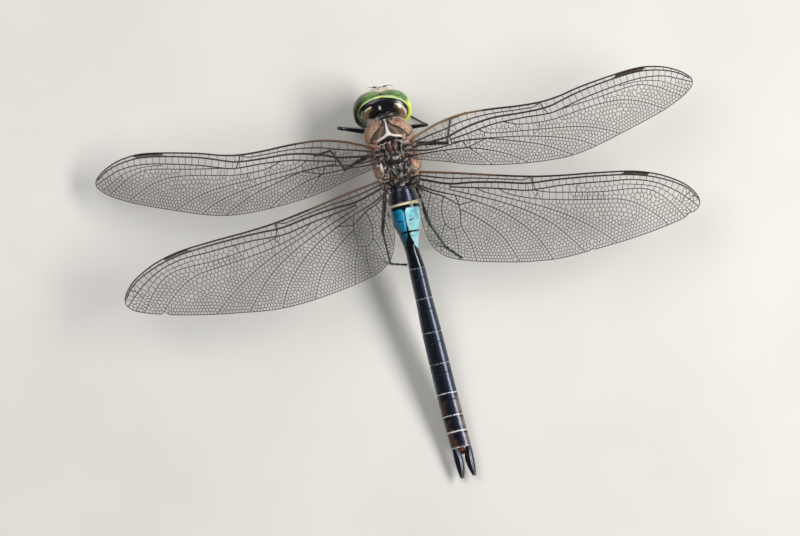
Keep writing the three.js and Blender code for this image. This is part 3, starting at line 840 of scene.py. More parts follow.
# ---- Abdomen ----
ring_width = profile((4.9, 2.15), (6.2, 2.5), (7.4, 2.7), (8.5, 2.84), (10.6, 2.44), (12.6, 1.8),
                     (15.3, 1.2), (17.6, 1.28), (18.7, 1.38), (24, 1.46), (29.9, 1.68), (35.4, 1.75),
                     (40.6, 1.76), (44.5, 1.78), (47.3, 1.76), (50.3, 1.76))
ring_depth = profile((4.9, 2.3), (7.4, 2.55), (10, 2.35), (12.5, 1.95), (15, 1.35), (18.7, 1.3), (30, 1.35),
                     (44.5, 1.25), (50.3, 1.05))
ring_height = profile((4.9, 8.7), (12.5, 7.75), (30, 4.75), (44.5, 2.45), (50.3, TAIL_HEIGHT))
ring_side = profile((4.9, -0.1), (8.5, -0.36), (10.6, -0.48), (12.6, -0.56), (15.3, -0.7), (18, -0.6),
                    (30, -0.56), (40, -0.42), (46, -0.25), (50.3, -0.08))
TUCK = 0.35  # how far each ring's front end reaches into the ring before it


def make_ring(number):
    """One ring of the abdomen. Its front edge is tucked into the ring before, its rear edge has
    a thin rim, and a fold runs along each side of its belly."""
    start, end = RING_STARTS[number - 1], RING_STARTS[number]
    length = end - start
    blue = number in (2, 3)
    lean = 0.06 if blue else 0.0  # the markings sit a little to the left here

    def spot(turn, run):
        along, opened = capped(run, 0.05)
        back = start - TUCK + (length + TUCK - 0.06) * along
        around = remainder(turn - pi / 2 - lean, 2 * pi)
        return back, around, opened

    def place(turn, run):
        back, around, opened = spot(turn, run)
        near_front, near_rear = back - start, end - back
        size = opened * (1 - 0.1 * bump(max(0.0, near_front + TUCK), 0.3))
        size *= 1 - 0.03 * bump(near_front - 0.1, 0.15) + 0.012 * bump(near_rear - 0.12, 0.1)
        fold = 0.14 * bump(abs(around) - 2.45, 0.12) + 0.05 * max(0.0, -cos(around)) ** 3
        keel = 0.05 * bump(around, 0.05) if number > 2 else 0.0
        edge = 0.05 * bump(abs(around) - 1.35, 0.07) if 3 < number < 9 else 0.0
        ear = 0.28 * bump(abs(around) - 1.75, 0.22) * bump(back - 8.9, 0.5) if number == 2 else 0.0
        dent = 0.05 * bump(near_front - 0.35 * length, 0.12) if 1 < number < 9 else 0.0
        out = keel + edge + ear - fold - dent
        side = (ring_width(back) + out) * size * cos(turn)
        rise = (ring_depth(back) + out) * size * sin(turn)
        return at(back, ring_side(back) + side, ring_height(back) + rise)

    def flat(turn, run):
        back, around, _ = spot(turn, run)
        return back - start, around * (ring_width(back) + ring_depth(back)) / 2

    if blue:
        bm = shell(96, 72, place, blue_marks(number, flat, length))
        piece(f"ring_{number}", bm, blue_chitin, [f"abdomen_{number}"])
    else:
        bm = shell(80, 64, place, dark_marks(number, flat, length))
        piece(f"ring_{number}", bm, ring_chitin, [f"abdomen_{number}"])


def blue_marks(number, spot, length):
    """Distances into the black, yellow and the painted azure and teal shade of the two blue rings."""
    flare = profile((0, 0.2), (1.6, 0.64), (2.9, 1.45), (3.5, 4.0), (7, 5.0))

    def black(back, arc):
        off = abs(arc)
        if number == 2:
            stripe = 0.1 + 0.45 * bump(back - 0.75, 0.45) + 0.12 * max(0.0, back - 3.5) / 1.5
            band = 0.32 - abs(back - 0.62 - 0.03 * off * off)
            dash = min(0.11 - abs(back - 3.15 + 0.12 * off), 0.52 - abs(off - 1.0))
            dot = 0.12 - hypot(back - 3.75, off - 0.62)
            line = 0.06 - abs(off - 2.75)
            ring = back - length + 0.24 + 0.06 * cos(1.2 * arc)
            belly = off - 5.2
            return max(stripe - off, band, dash, dot, line, ring, belly)
        dot = 0.13 - hypot(back - 0.7, off - 0.72)
        return max(flare(back) - off, dot, 0.1 - back, off - 4.2 + 0.4 * back)

    def yellow(back, arc):
        return 0.32 + 0.03 * arc * arc - back if number == 2 else AWAY

    def azure(back, arc):
        """Painted shade: the whole left side in deep azure, and a thread along the right."""
        thread = min(0.16 - abs(arc + 2.0 + 0.05 * back), 3.0 - back) if number == 2 else AWAY
        return max(arc, thread)

    def deep(back, arc):
        """Painted shade: dark teal low on each side, higher up on the left, and a blot on the left."""
        ahead = back if number == 2 else back + 5.1
        low = 0.6 * (arc - 3.5 + 0.52 * ahead) if arc > 0 else AWAY
        blot = 0.35 - hypot(0.6 * (ahead - 1.7), arc - 1.6)
        return max(low, blot, -arc - 3.9)

    return marks_at(spot, black, yellow, azure, deep)


def dark_marks(number, spot, length):
    """Distances into the side patches, joint rings and dark bars of the other rings."""
    last = number == 10

    def patch(back, arc):
        if number == 1 or number > 8:
            return AWAY
        front, rear = abs(back - 0.2 * length) - 0.13 * length, abs(back - 0.64 * length) - 0.24 * length
        return min(-min(front, rear), abs(arc) - 1.15, 2.9 - abs(arc)) * 0.7

    def brown(back, arc):
        if number == 1:
            return abs(arc) - 2.5
        if number < 8:
            return AWAY
        blotch = 0.5 * noise_at(1.4 * back, 1.4 * arc, number)
        if last:
            return min(arc - 0.5, 2.05 - arc) + 1.6 * blotch - 0.1
        return min(arc - 0.85, 1.85 - arc, back - 0.35 * length, length - 0.35 - back) + blotch

    def tan(back, arc):
        if number < 8:
            return AWAY
        blotch = 0.6 * noise_at(1.6 * back, 1.6 * arc, number + 7)
        edge = min(0.3 - (length - back), 2.6 - abs(arc)) if last else AWAY
        side = min(-0.9 - arc, arc + 2.2, back - 0.25 * length, length - 0.3 - back)
        return max(edge, side + blotch)

    def pale(back, arc):
        """The joint's ring, pale membrane that partly stands in for a painted highlight, and on the last
        ring a hem too, both worn in places.
        """
        if number < 8:
            return 0.03 - abs(back - 0.08) if number > 3 else AWAY
        worn = 0.08 * noise_at(0.9 * arc, number, 4.0)
        joint = (0.13 if last else 0.08) + worn - abs(back - 0.06 - 0.04 * arc * arc)
        hem = 0.07 + worn - abs(length - 0.1 - back) if last else AWAY
        return max(min(joint, 2.1 - abs(arc)), hem)

    def black(back, arc):
        """The middle line, the rear edge and a cross bar."""
        middle = min(0.42 - 0.12 * back - abs(arc), back - 0.25) if last else 0.09 - abs(arc)
        joint = AWAY if last else 0.12 - (length - back)
        bar = 0.07 - abs(back - 0.35 * length) if number < 9 else AWAY
        return max(middle, joint, bar)

    return marks_at(spot, patch, brown, tan, pale, black)


def make_claspers():
    """Two leaf-shaped upper claspers, ridged along the middle, and a short lower plate."""
    half_width = profile((0, 0.38), (0.15, 0.6), (0.4, 0.8), (0.7, 0.66), (0.9, 0.44), (1, 0.3))
    spread = profile((0, 1.22), (0.4, 0.9), (1, 1.06))
    start = RING_STARTS[-1] - 0.15
    length = RING_STARTS[-1] + 0.1 + CERCUS_LENGTH - 0.02 - start
    for word, hand in SIDES:
        def leaf(turn, run):
            along, opened = capped(run, 0.07)
            wide = half_width(along) * opened
            across = cos(turn)
            ridge = 0.1 * bump(across, 0.25) * max(0.0, sin(turn))
            hollow = 0.07 * bump(abs(across) - 0.55, 0.2)
            thick = 0.3 * opened * sin(turn) * (1 - 0.25 * along)
            return at(start + length * along, hand * (spread(along) - wide * across),
                      TAIL_HEIGHT + 0.35 - 0.5 * along + thick + (ridge - hollow) * opened)

        piece(f"clasper_{word}", shell(48, 72, leaf), clasper_chitin, [f"cercus_{word}"])

    def lower(turn, run):
        along, opened = capped(run, 0.2)
        notch = 0.25 * along * bump(cos(turn), 0.5)
        return at(start + (1.4 - notch) * along, (0.75 - 0.25 * along) * opened * cos(turn),
                  TAIL_HEIGHT - 0.6 + 0.27 * opened * sin(turn))

    bm = shell(40, 24, lower, {"rust": lambda turn, run: 0.4})
    dome(bm, at(50.35, 0, TAIL_HEIGHT + 0.1), (0.8, 0.55, 0.4), mark=("rust", 0.5))
    piece("lower_clasper", bm, clasper_chitin, ["epiproct"])


# ---- Wings: along from the root, across towards the leading edge ----
fore_leading = profile((0, 0.8), (2, 1.5), (5, 2.4), (9, 3.0), (14, 2.8), (19, 2.25), (23, 2.05),
                       (26, 2.3), (30, 3.05), (37, 3.85), (41, 3.95), (44.5, 3.2), (46.8, 2.1),
                       (48.1, 1.1), (48.7, 0.4), (48.9, -0.1))
fore_trailing = profile((0, -2.6), (5, -4.2), (9, -5.6), (14, -6.8), (20, -7.7), (25, -8.0), (29, -7.6),
                        (35, -6.2), (42, -4.3), (45, -3.2), (47, -2.25), (48.2, -1.4), (48.7, -0.9),
                        (48.9, -0.4))
hind_leading = profile((0, 0.7), (6, 1.0), (13, 1.2), (19, 1.5), (24, 2.1), (30, 3.05), (36, 3.8),
                       (40, 3.7), (43, 3.1), (45.2, 2.3), (46.7, 1.3), (47.6, 0.3), (47.9, -0.4))
hind_trailing = profile((0, -3.4), (0.7, -6.6), (1.8, -9.6), (3.5, -12.0), (6, -13.3), (10, -13.6),
                        (15, -13.4), (20, -12.9), (25, -11.9), (30, -10.2), (36, -7.9), (41, -5.7),
                        (45, -3.6), (46.8, -2.4), (47.6, -1.5), (47.9, -0.9))
# How far the radius vein lies behind the leading edge
fore_band = profile((0, 1.35), (3, 2.2), (6, 2.8), (9, 2.4), (14, 1.55), (19, 1.25), (24, 1.1), (27, 0.8),
                    (35, 0.62), (44, 0.6), (48.9, 0.3))
hind_band = profile((0, 1.2), (5, 1.85), (9.2, 1.38), (13.5, 1.15), (18.5, 1.15), (21, 0.85), (24, 0.62),
                    (30, 0.55), (40, 0.58), (47.9, 0.3))

# The long veins behind the radius, as (start radius, end radius, points)
FORE_VEINS = [
    (0.13, 0.08, [(6.6, -0.75), (10, -0.35), (14, 0.2), (19, 0.15), (24, -0.15), (27, 0.35), (30, 1.0),
                  (35, 1.75), (40, 2.2), (44, 1.75), (46.8, 0.6), (48.9, -0.45)]),
    (0.08, 0.06, [(25, 0.0), (28, 0.25), (32, 0.55), (36, 1.0), (39.5, 1.2), (42.5, 0.3), (45, -1.3),
                  (47.4, -2.8)]),
    (0.06, 0.05, [(36.5, 1.7), (40, 1.72), (43.5, 1.0), (46.3, -0.6), (48.6, -2.0)]),
    (0.08, 0.06, [(16, 0.2), (19, -0.9), (24, -1.3), (29, -0.8), (33, -0.5), (36.5, -0.7), (40, -1.9),
                  (44, -4.3)]),
    (0.08, 0.06, [(11.5, -0.15), (13.5, -1.2), (18, -1.9), (23, -2.6), (28, -3.4), (32, -4.7),
                  (36.5, -7.0)]),
    (0.1, 0.06, [(6.6, -1.25), (10, -1.5), (14, -2.1), (19, -3.0), (24, -4.3), (28, -5.8), (31.5, -8.0)]),
    (0.1, 0.1, [(6.6, 0.0), (6.65, -0.8), (6.6, -1.55)]),
    (0.16, 0.1, [(-0.2, -1.1), (3, -1.65), (6.6, -1.55), (8.5, -1.4)]),
    (0.1, 0.1, [(8.5, -1.4), (9.0, -2.7)]),
    (0.1, 0.08, [(9.0, -2.7), (12.6, -1.9)]),
    (0.1, 0.1, [(8.5, -1.4), (12.6, -1.9)]),
    (0.14, 0.1, [(-0.2, -1.9), (2, -2.05), (5, -2.25), (9.0, -2.7)]),
    (0.09, 0.06, [(12.6, -1.9), (17, -3.35), (22, -5.3), (28, -9.0)]),
    (0.09, 0.06, [(9.0, -2.7), (12, -3.7), (16, -5.6), (20.5, -9.0)]),
    (0.08, 0.05, [(9.4, -2.85), (11.2, -4.8), (13.5, -7.6)]),
    (0.08, 0.05, [(5, -2.25), (5.8, -3.4), (6.8, -5.6)]),
]
HIND_VEINS = [
    (0.13, 0.08, [(5.2, -1.4), (9.6, -1.2), (13.5, -1.0), (18, -0.95), (21, -0.35), (24, 0.4), (28.7, 1.24),
                  (32, 1.75), (36, 2.4), (40, 2.25), (43.5, 1.2), (45.8, 0.0), (47.9, -1.3)]),
    (0.08, 0.06, [(19.3, -0.75), (22, -0.9), (26, -0.6), (31, -0.1), (35.5, 0.75), (38.5, 1.0), (41, 0.3),
                  (43.5, -1.4), (46.2, -3.8)]),
    (0.06, 0.05, [(34.5, 1.5), (38, 1.65), (41, 1.3), (44, -0.3), (47.4, -2.8)]),
    (0.08, 0.06, [(13.5, -1.05), (15.5, -1.8), (20, -2.2), (26, -1.9), (31, -1.4), (34.5, -1.1),
                  (37.5, -1.7), (41, -3.4), (43.8, -5.4)]),
    (0.08, 0.06, [(9.6, -1.2), (11.5, -1.85), (16, -2.6), (21, -3.4), (26, -4.7), (31, -6.7), (36, -9.4)]),
    (0.1, 0.06, [(5.2, -1.85), (9, -2.4), (14, -3.2), (19, -4.5), (24, -6.7), (30.5, -11.5)]),
    (0.1, 0.1, [(5.2, -0.95), (5.25, -1.4), (5.2, -1.9)]),
    (0.16, 0.1, [(-0.2, -1.5), (2.6, -2.25), (6.24, -2.72)]),
    (0.1, 0.1, [(6.24, -2.72), (7.05, -4.35)]),
    (0.1, 0.08, [(7.05, -4.35), (9.6, -3.4)]),
    (0.1, 0.1, [(6.24, -2.72), (9.6, -3.4)]),
    (0.14, 0.1, [(-0.2, -1.8), (2.14, -2.65), (4.21, -3.1), (7.05, -4.35)]),
    (0.09, 0.06, [(9.6, -3.4), (14, -4.7), (18, -6.7), (21.5, -9.4), (24.5, -13.2)]),
    (0.09, 0.06, [(7.2, -5.0), (11, -6.6), (15, -9.2), (19, -14.2)]),
    (0.1, 0.06, [(7.05, -4.35), (7.5, -6.2), (7.75, -7.9), (9.5, -10.5), (11.3, -14.6)]),
    (0.09, 0.07, [(4.21, -3.1), (4.2, -5.5), (4.9, -7.6), (6.2, -8.5), (7.75, -7.9)]),
    (0.08, 0.05, [(4.9, -7.6), (4.5, -10.5), (4.8, -14.0)]),
    (0.08, 0.05, [(6.6, -8.45), (7.4, -11), (8, -14.6)]),
    (0.09, 0.05, [(2.14, -2.65), (1.8, -5.5), (2.1, -8.5), (2.4, -12.2)]),
]

VEIN_STEP = 0.3  # spacing of the points along a vein
CELL = 0.53  # width of the finest cells of the network
BAND_CELL = 1.3  # spacing of the cross veins behind the leading edge
ROW_LIMIT = 1.75  # a band narrower than this many cells holds a single row of them
MOST_ROWS = 9
# In cells: between cross veins, between seeds on a vein, between middles, and from a middle to a vein
RUNG_GAP, SEED_GAP, CELL_GAP, WALL_GAP = 1.15, 0.94, 0.74, 0.26
NETWORK_RADIUS, FILM_THICKNESS = 0.045, 0.03


class Wing:
    """One wing in its own plane, with the pleats that stiffen its leading edge."""

    def __init__(self, name, hand, sweep, droop, root, length, leading, trailing, band, nodus, stigma,
                 veins, nicks=()):
        self.name, self.hand, self.length, self.droop = name, hand, length, droop
        self.back, self.side, self.height = root
        self.sweep = radians(sweep)
        self.leading, self.whole_trailing, self.band = leading, trailing, band
        self.nodus, self.stigma, self.veins, self.nicks = nodus, stigma, veins, nicks

    def trailing(self, along):
        nick = sum(depth * bump(along - place, width) for place, width, depth in self.nicks)
        return min(self.whole_trailing(along) + nick, self.leading(along) - 0.1)

    def pleat(self, along, across):
        behind = self.leading(along) - across
        pitch = self.band(along)
        return 0.1 * pitch * cos(2 * pi * behind / pitch) * exp(-max(0.0, behind) / 2)

    def place(self, along, across, lift=0.0):
        # The wing bends down along a parabola, so it reaches out a little less than its length
        share = along / self.length
        reach = along - 2 * self.droop ** 2 * share ** 3 / (3 * self.length)
        out = reach * cos(self.sweep) + across * sin(self.sweep)
        forward = across * cos(self.sweep) - reach * sin(self.sweep)
        return at(self.back - forward, self.hand * (self.side + out),
                  self.height - self.droop * share ** 2 + self.pleat(along, across) + lift)

    def cell(self, along, across):
        """The wanted width of a cell of the network here."""
        front, rear = self.leading(along), self.trailing(along)
        share = clamp((across - rear) / (front - rear))
        return CELL + 0.42 * share ** 2

    def edge(self, side_of, start, end, step):
        """Points along one margin."""
        count = ceil(abs(end - start) / step)
        spots = [start + (end - start) * i / count for i in range(count + 1)]
        return [Vector((spot, side_of(spot))) for spot in spots]

    def inside(self, point, margin=0.0):
        return (0 <= point.x <= self.length
                and self.trailing(point.x) + margin <= point.y <= self.leading(point.x) - margin)

    def trimmed(self, points):
        """A vein's smooth line, ending where it meets the margin."""
        line = smooth_line(points, VEIN_STEP)
        kept = []
        for point in line:
            if kept and not self.inside(point):
                low, high = kept[-1], point
                for _ in range(20):
                    middle = (low + high) / 2
                    low, high = (middle, high) if self.inside(middle) else (low, middle)
                kept.append(low)
                break
            kept.append(point)
        return kept


def nearest_wall(point, way, starts, edges):
    """Distance from a point to the first vein met in a direction, or 0 if there is none."""
    to = starts - point
    across = way[0] * edges[:, 1] - way[1] * edges[:, 0]
    across = np.where(np.abs(across) < 1e-9, 1e-9, across)
    far = (to[:, 0] * edges[:, 1] - to[:, 1] * edges[:, 0]) / across
    share = (to[:, 0] * way[1] - to[:, 1] * way[0]) / across
    hits = far[(share >= 0) & (share <= 1) & (far > 0.08)]
    return float(hits.min()) if len(hits) else 0.0


def cell_centres(wing, lines):
    """Middles of the wing's cells: rows beside each long vein first, then rows further out. In a
    band only one cell wide there are none, but straight cross veins."""
    starts = np.array([p for line in lines for p in line[:-1]])
    edges = np.array([q - p for line in lines for p, q in zip(line, line[1:])])
    knots = np.array([p for line in lines for p in line])
    seeds, rungs = [], []
    for number, line in enumerate(lines):
        travelled = climbed = 0.0
        for p, q in zip(line, line[1:]):
            step = (q - p).length
            travelled += step
            climbed += step
            size = wing.cell(*p)
            forward = (q - p).normalized()
            gap = BAND_CELL if number in (0, 2) else RUNG_GAP * size
            if climbed > gap and (number or forward.x > 0.3):
                behind = Vector((forward.y, -forward.x))
                width = nearest_wall(np.array(p), behind, starts, edges)
                if 0.15 < width < ROW_LIMIT * size:
                    rungs.append((p, p + behind * width))
                    climbed = 0.0
            if travelled < SEED_GAP * size * (CELL / size) ** 0.5:
                continue
            travelled = 0.0
            for normal in (Vector((-forward.y, forward.x)), Vector((forward.y, -forward.x))):
                width = nearest_wall(np.array(p), normal, starts, edges)
                if width > ROW_LIMIT * size:
                    seeds.append((p, forward, normal, width, size))
    centres = np.zeros((0, 2))
    for row in range(MOST_ROWS):
        for start, way, normal, width, size in seeds:
            rows = max(2, round(width / size))
            if 2 * row >= rows + 1:
                continue
            wobble = Vector((rng.uniform(-1, 1), rng.uniform(-1, 1))) * 0.05 * size
            spot = start + normal * width * (row + 0.5) / rows + wobble
            if row % 2:
                spot += way * size / 2
            if not wing.inside(spot, 0.1):
                continue
            here = np.array(spot)
            if len(centres) and np.hypot(*(centres - here).T).min() < CELL_GAP * size:
                continue
            if np.hypot(*(knots - here).T).min() < WALL_GAP * size:
                continue
            centres = np.vstack([centres, here])
    return [Vector(c) for c in centres], rungs


def make_wing(wing):
    """The film, the veins with their network of cross veins, and the dark cell near the tip."""
    radius_line = wing.trimmed([(x, wing.leading(x) - wing.band(x)) for x in
                                [i * wing.length / 24 for i in range(24)] + [wing.length - 0.4]])
    nodus = wing.nodus
    subcosta = [(x, wing.leading(x) - 0.5 * wing.band(x)) for x in
                [i * (nodus - 1.2) / 12 for i in range(13)]] + [(nodus, wing.leading(nodus) - 0.05)]
    subcosta = smooth_line(subcosta, VEIN_STEP)
    notch = [Vector((nodus + 0.1, wing.leading(nodus))),
             Vector((nodus + 0.45, wing.leading(nodus) - wing.band(nodus))),
             Vector((nodus + 1.0, wing.leading(nodus) - wing.band(nodus) - 1.0))]
    long_veins = [(first, last, wing.trimmed(points)) for first, last, points in wing.veins]

    tip = wing.length - 1.1
    front = (wing.edge(wing.leading, 0, wing.length - 1.2, 0.3)
             + wing.edge(wing.leading, tip, wing.length, 0.08))
    rear = (wing.edge(wing.trailing, wing.length, tip, 0.08)
            + wing.edge(wing.trailing, wing.length - 1.2, 0.0, 0.25))
    root = [rear[-1].lerp(front[0], k / 8) for k in range(1, 8)]
    outline = front + rear + root
    inner = [radius_line, subcosta, notch] + [line for *_, line in long_veins]
    lines = [outline + outline[:1], *inner]
    centres, rungs = cell_centres(wing, lines)

    # The network is drawn between the centres: a triangulation held to the veins gives the film,
    # and its dual gives the cross veins
    points, fixed = [], []
    for line in [outline, *inner]:
        first = len(points)
        points += line
        fixed += [(first + i, first + i + 1) for i in range(len(line) - 1)]
    fixed.append((len(outline) - 1, 0))
    walls = len(points)
    verts, _, faces, originals, _, _ = delaunay_2d_cdt(points + centres, fixed, [], 1, 1e-5)
    is_centre = [bool(source) and source[0] >= walls for source in originals]

    bm = bmesh.new()
    root_layer = bm.verts.layers.float.new("root")
    made = []
    for spot, central in zip(verts, is_centre):
        vert = bm.verts.new(wing.place(*spot, rng.gauss(0, 0.1) if central else 0.0))
        stain = max(bump(spot.x, 1.6) * 0.6, 0.5 * bump(wing.leading(spot.x) - spot.y - 0.3, 0.5))
        vert[root_layer] = stain * (0.7 if spot.x < 25 else 0.45)
        made.append(vert)
    for face in faces:
        bm.faces.new([made[i] for i in face])
    if wing.hand < 0:
        bmesh.ops.reverse_faces(bm, faces=bm.faces)
    bmesh.ops.solidify(bm, geom=bm.faces[:], thickness=FILM_THICKNESS * MM)
    piece(f"{wing.name}_film", bm, clear_film)

    by_edge, links = {}, list(rungs)
    middles = [sum((verts[i] for i in face), Vector((0, 0))) / len(face) for face in faces]
    for k, face in enumerate(faces):
        for a, b in zip(face, face[1:] + face[:1]):
            if is_centre[a] and is_centre[b]:
                by_edge.setdefault((min(a, b), max(a, b)), []).append(k)
        fixed_corners = [i for i in face if not is_centre[i]]
        if len(fixed_corners) == 1:
            links.append((middles[k], verts[fixed_corners[0]]))
    links += [(middles[pair[0]], middles[pair[1]]) for pair in by_edge.values() if len(pair) == 2]

    def strand(line, first, last):
        """A line laid on the wing, its radius running from first to last."""
        top = max(1, len(line) - 1)
        return [(wing.place(*p), first + (last - first) * i / top) for i, p in enumerate(line)]

    bm = marked("tan")
    dark = ("tan", -0.4)
    tubes(bm, [strand(link, NETWORK_RADIUS, NETWORK_RADIUS) for link in links], 4, dark)
    tubes(bm, [strand(line, first, last) for first, last, line in long_veins], 6, dark)
    tubes(bm, [strand(radius_line, 0.2, 0.1), strand(subcosta, 0.14, 0.08), strand(notch, 0.12, 0.08)],
          6, dark)
    # The leading edge is tan over its first quarter, most of all on the right forewing
    costa, tan_part = strand(front, 0.2, 0.1), len(front) // 4
    tubes(bm, [costa[:tan_part + 1]], 8, ("tan", 0.1 if wing.name == "forewing_right" else -0.12))
    tubes(bm, [costa[tan_part:]], 8, dark)
    tubes(bm, [strand(front[-1:] + rear, 0.07, 0.06), strand(rear[-1:] + root + front[:1], 0.09, 0.16)],
          6, dark)
    dome(bm, wing.place(nodus, wing.leading(nodus) - 0.15), (0.42, 0.2, 0.16), mark=("tan", 0.6))
    piece(f"{wing.name}_veins", bm, vein_chitin, [wing.name])

    # The pterostigma fills the band between the leading edge and the radius
    first, last = wing.stigma

    def window(turn, run):
        along, opened = capped(run, 0.06)
        x = first + (last - first) * along + 0.25 * cos(turn)
        half = wing.band(x) / 2 * opened
        middle = wing.leading(x) - wing.band(x) / 2
        return wing.place(x, middle + half * cos(turn), 0.09 * opened * sin(turn))

    piece(f"{wing.name}_stigma", shell(20, 40, window), stigma_film)


def make_membranule(wing):
    """The pale flap along the hindwing's inner margin."""
    def flap(turn, run):
        along, opened = capped(run, 0.12)
        x = 0.15 + 1.5 * along ** 1.4
        y = wing.trailing(x) + 0.35
        wide = (0.3 - 0.15 * along) * opened
        return wing.place(x + 0.1 + wide * cos(turn), y, 0.05 * opened * sin(turn) + 0.03)

    piece(f"{wing.name}_membranule", shell(16, 32, flap), flap_film)


# ---- Legs: the places of hip and knee, then where the ankle and the claws stand ----
LEGS = {
    "front_left": ((-5.3, -2.2, 3.6), (-7.5, -8.2, 5.8), (-6.4, -4.3), (-8.7, -2.8)),
    "front_right": ((-5.2, 1.5, 3.6), (-4.7, 6.5, 6.6), (-7.0, 4.1), (-9.4, 2.9)),
    "middle_left": ((-2.5, -1.9, 3.3), (-0.4, -8.8, 6.8), (-4.2, -10.5), (-4.0, -13.4)),
    "middle_right": ((-2.5, 1.9, 3.3), (-0.9, 9.2, 6.8), (-4.85, 10.7), (-5.3, 13.6)),
    "hind_left": ((0.9, -1.7, 3.3), (11.3, -4.9, 7.0), (17.0, -4.8), (17.8, -2.0)),
    "hind_right": ((0.9, 1.7, 3.3), (11.9, 3.2, 7.2), (16.2, 5.0), (18.8, 7.4)),
}


def spine(bm, root, tip, thick):
    """A thin spike."""
    way = tip - root
    turn = way.to_track_quat("Z", "Y").to_matrix().to_4x4()
    seat = Matrix.Translation((root + tip) / 2) @ turn
    return bmesh.ops.create_cone(bm, cap_ends=True, segments=4, radius1=thick * MM,
                                 radius2=0.25 * thick * MM, depth=way.length, matrix=seat)["verts"]


def make_leg(name, hip, knee, ankle, claw):
    """Hip, thigh, shin and foot in one piece, with its claws and spines."""
    hip, knee = at(*hip), at(*knee)
    ankle, claw = at(*ankle, SOLE), at(*claw, SOLE)
    flank = hip.x - MIDDLE
    socket = Vector((MIDDLE + 0.75 * flank, hip.y, hip.z + 2.0 * MM))
    thigh, shin, foot = knee - hip, ankle - knee, claw - ankle
    femur = profile((0, 0.3), (0.12, 0.42), (0.5, 0.38), (0.85, 0.31), (0.95, 0.33), (1, 0.24))
    tibia = profile((0, 0.2), (0.06, 0.26), (0.2, 0.2), (0.9, 0.17), (1, 0.2))
    bm = marked("brown")

    def limb(start, way, girth, steps):
        return [(start + way * i / steps, girth(i / steps)) for i in range(steps + 1)]

    coxa = profile((0, 0.7), (0.5, 0.85), (0.9, 0.5), (1, 0.35))
    tubes(bm, [limb(socket, hip - socket, coxa, 12)], 14, ("brown", 0.3))
    tubes(bm, [limb(hip - thigh * 0.02, thigh * 0.1, profile((0, 0.3), (0.5, 0.45), (1, 0.34)), 8)], 12,
          ("brown", 0.0))
    tubes(bm, [limb(hip + thigh * 0.06, thigh * 0.94, femur, 24)], 12, ("brown", -0.6))
    dome(bm, knee, (0.3, 0.3, 0.3), mark=("brown", -0.6))
    tubes(bm, [limb(knee, shin, tibia, 20)], 10, ("brown", -1.0))

    # Three joints of the foot, then two hooked claws
    start, joints = ankle, []
    for share in (0.22, 0.33, 0.45):
        step = foot * share
        joints.append(limb(start, step * 0.98, profile((0, 0.09), (0.3, 0.14), (0.85, 0.165), (1, 0.1)), 8))
        start = start + step
    tubes(bm, joints, 10, ("brown", -1.0))
    across = foot.normalized().cross(Vector((0, 0, 1)))
    forward = foot.normalized()
    root = claw - forward * 0.45 * MM
    for hand in (-1, 1):
        bend = root + (forward * 0.22 + across * hand * 0.14 + Vector((0, 0, 0.05))) * MM
        point = root + (forward * 0.42 + across * hand * 0.2 - Vector((0, 0, 0.1))) * MM
        hook = smooth_line([root, bend, point], 0.08 * MM)
        tubes(bm, [[(p, 0.07 * (1 - 0.75 * i / (len(hook) - 1))) for i, p in enumerate(hook)]], 8,
              ("brown", -1.0))

    # Two rows of spines under the thigh and two longer rows under the shin
    hinge = thigh.cross(shin).normalized()
    for hand in (-1, 1):
        for run, count, length, lean, start in ((thigh, 11, 0.4, 0.5, hip), (shin, 10, 0.95, 0.8, knee)):
            for k in range(count):
                share = 0.15 + 0.78 * k / (count - 1)
                root = start + run * share
                out = (-hinge * hand * 0.55 + hinge.cross(run).normalized() * 0.8
                       + run.normalized() * lean).normalized()
                size = length * (0.75 + 0.35 * sin(pi * share)) * rng.uniform(0.9, 1.1)
                tip = root + out * (size + 0.2) * MM
                if tip.z > 0.06 * MM:
                    spine(bm, root + out * 0.1 * MM, tip, 0.045)
    bmesh.ops.recalc_face_normals(bm, faces=bm.faces)
    piece(f"leg_{name}", bm, leg_chitin,
          [f"{part}_{name}" for part in ("coxa", "femur", "tibia", "tarsus")])


# ---- Hair ----
DOWN_HAIRS, SHOULDER_HAIRS, NECK_TRIES = 1500, 170, 420
DOWN_THICK, FRINGE_THICK = 0.018, 0.022  # radius at a hair's root


def coat(name, roots, thick):
    """Fine hairs, each a thin spike. A root is (place, way, length in mm, u, v), with u and v its
    place on the unwrapped skin."""
    bm = bmesh.new()
    unwrap = bm.loops.layers.uv.new("OFBake")
    spots = {}
    for place, way, length, u, v in roots:
        for k, vert in enumerate(spine(bm, place, place + way.normalized() * length * MM, thick)):
            turn = 2 * pi * k / 8
            spots[vert] = (u + 0.0015 * cos(turn), v + 0.0015 * sin(turn))
    for vert, spot in spots.items():
        for loop in vert.link_loops:
            loop[unwrap].uv = spot
    piece(name, bm, hair_keratin)


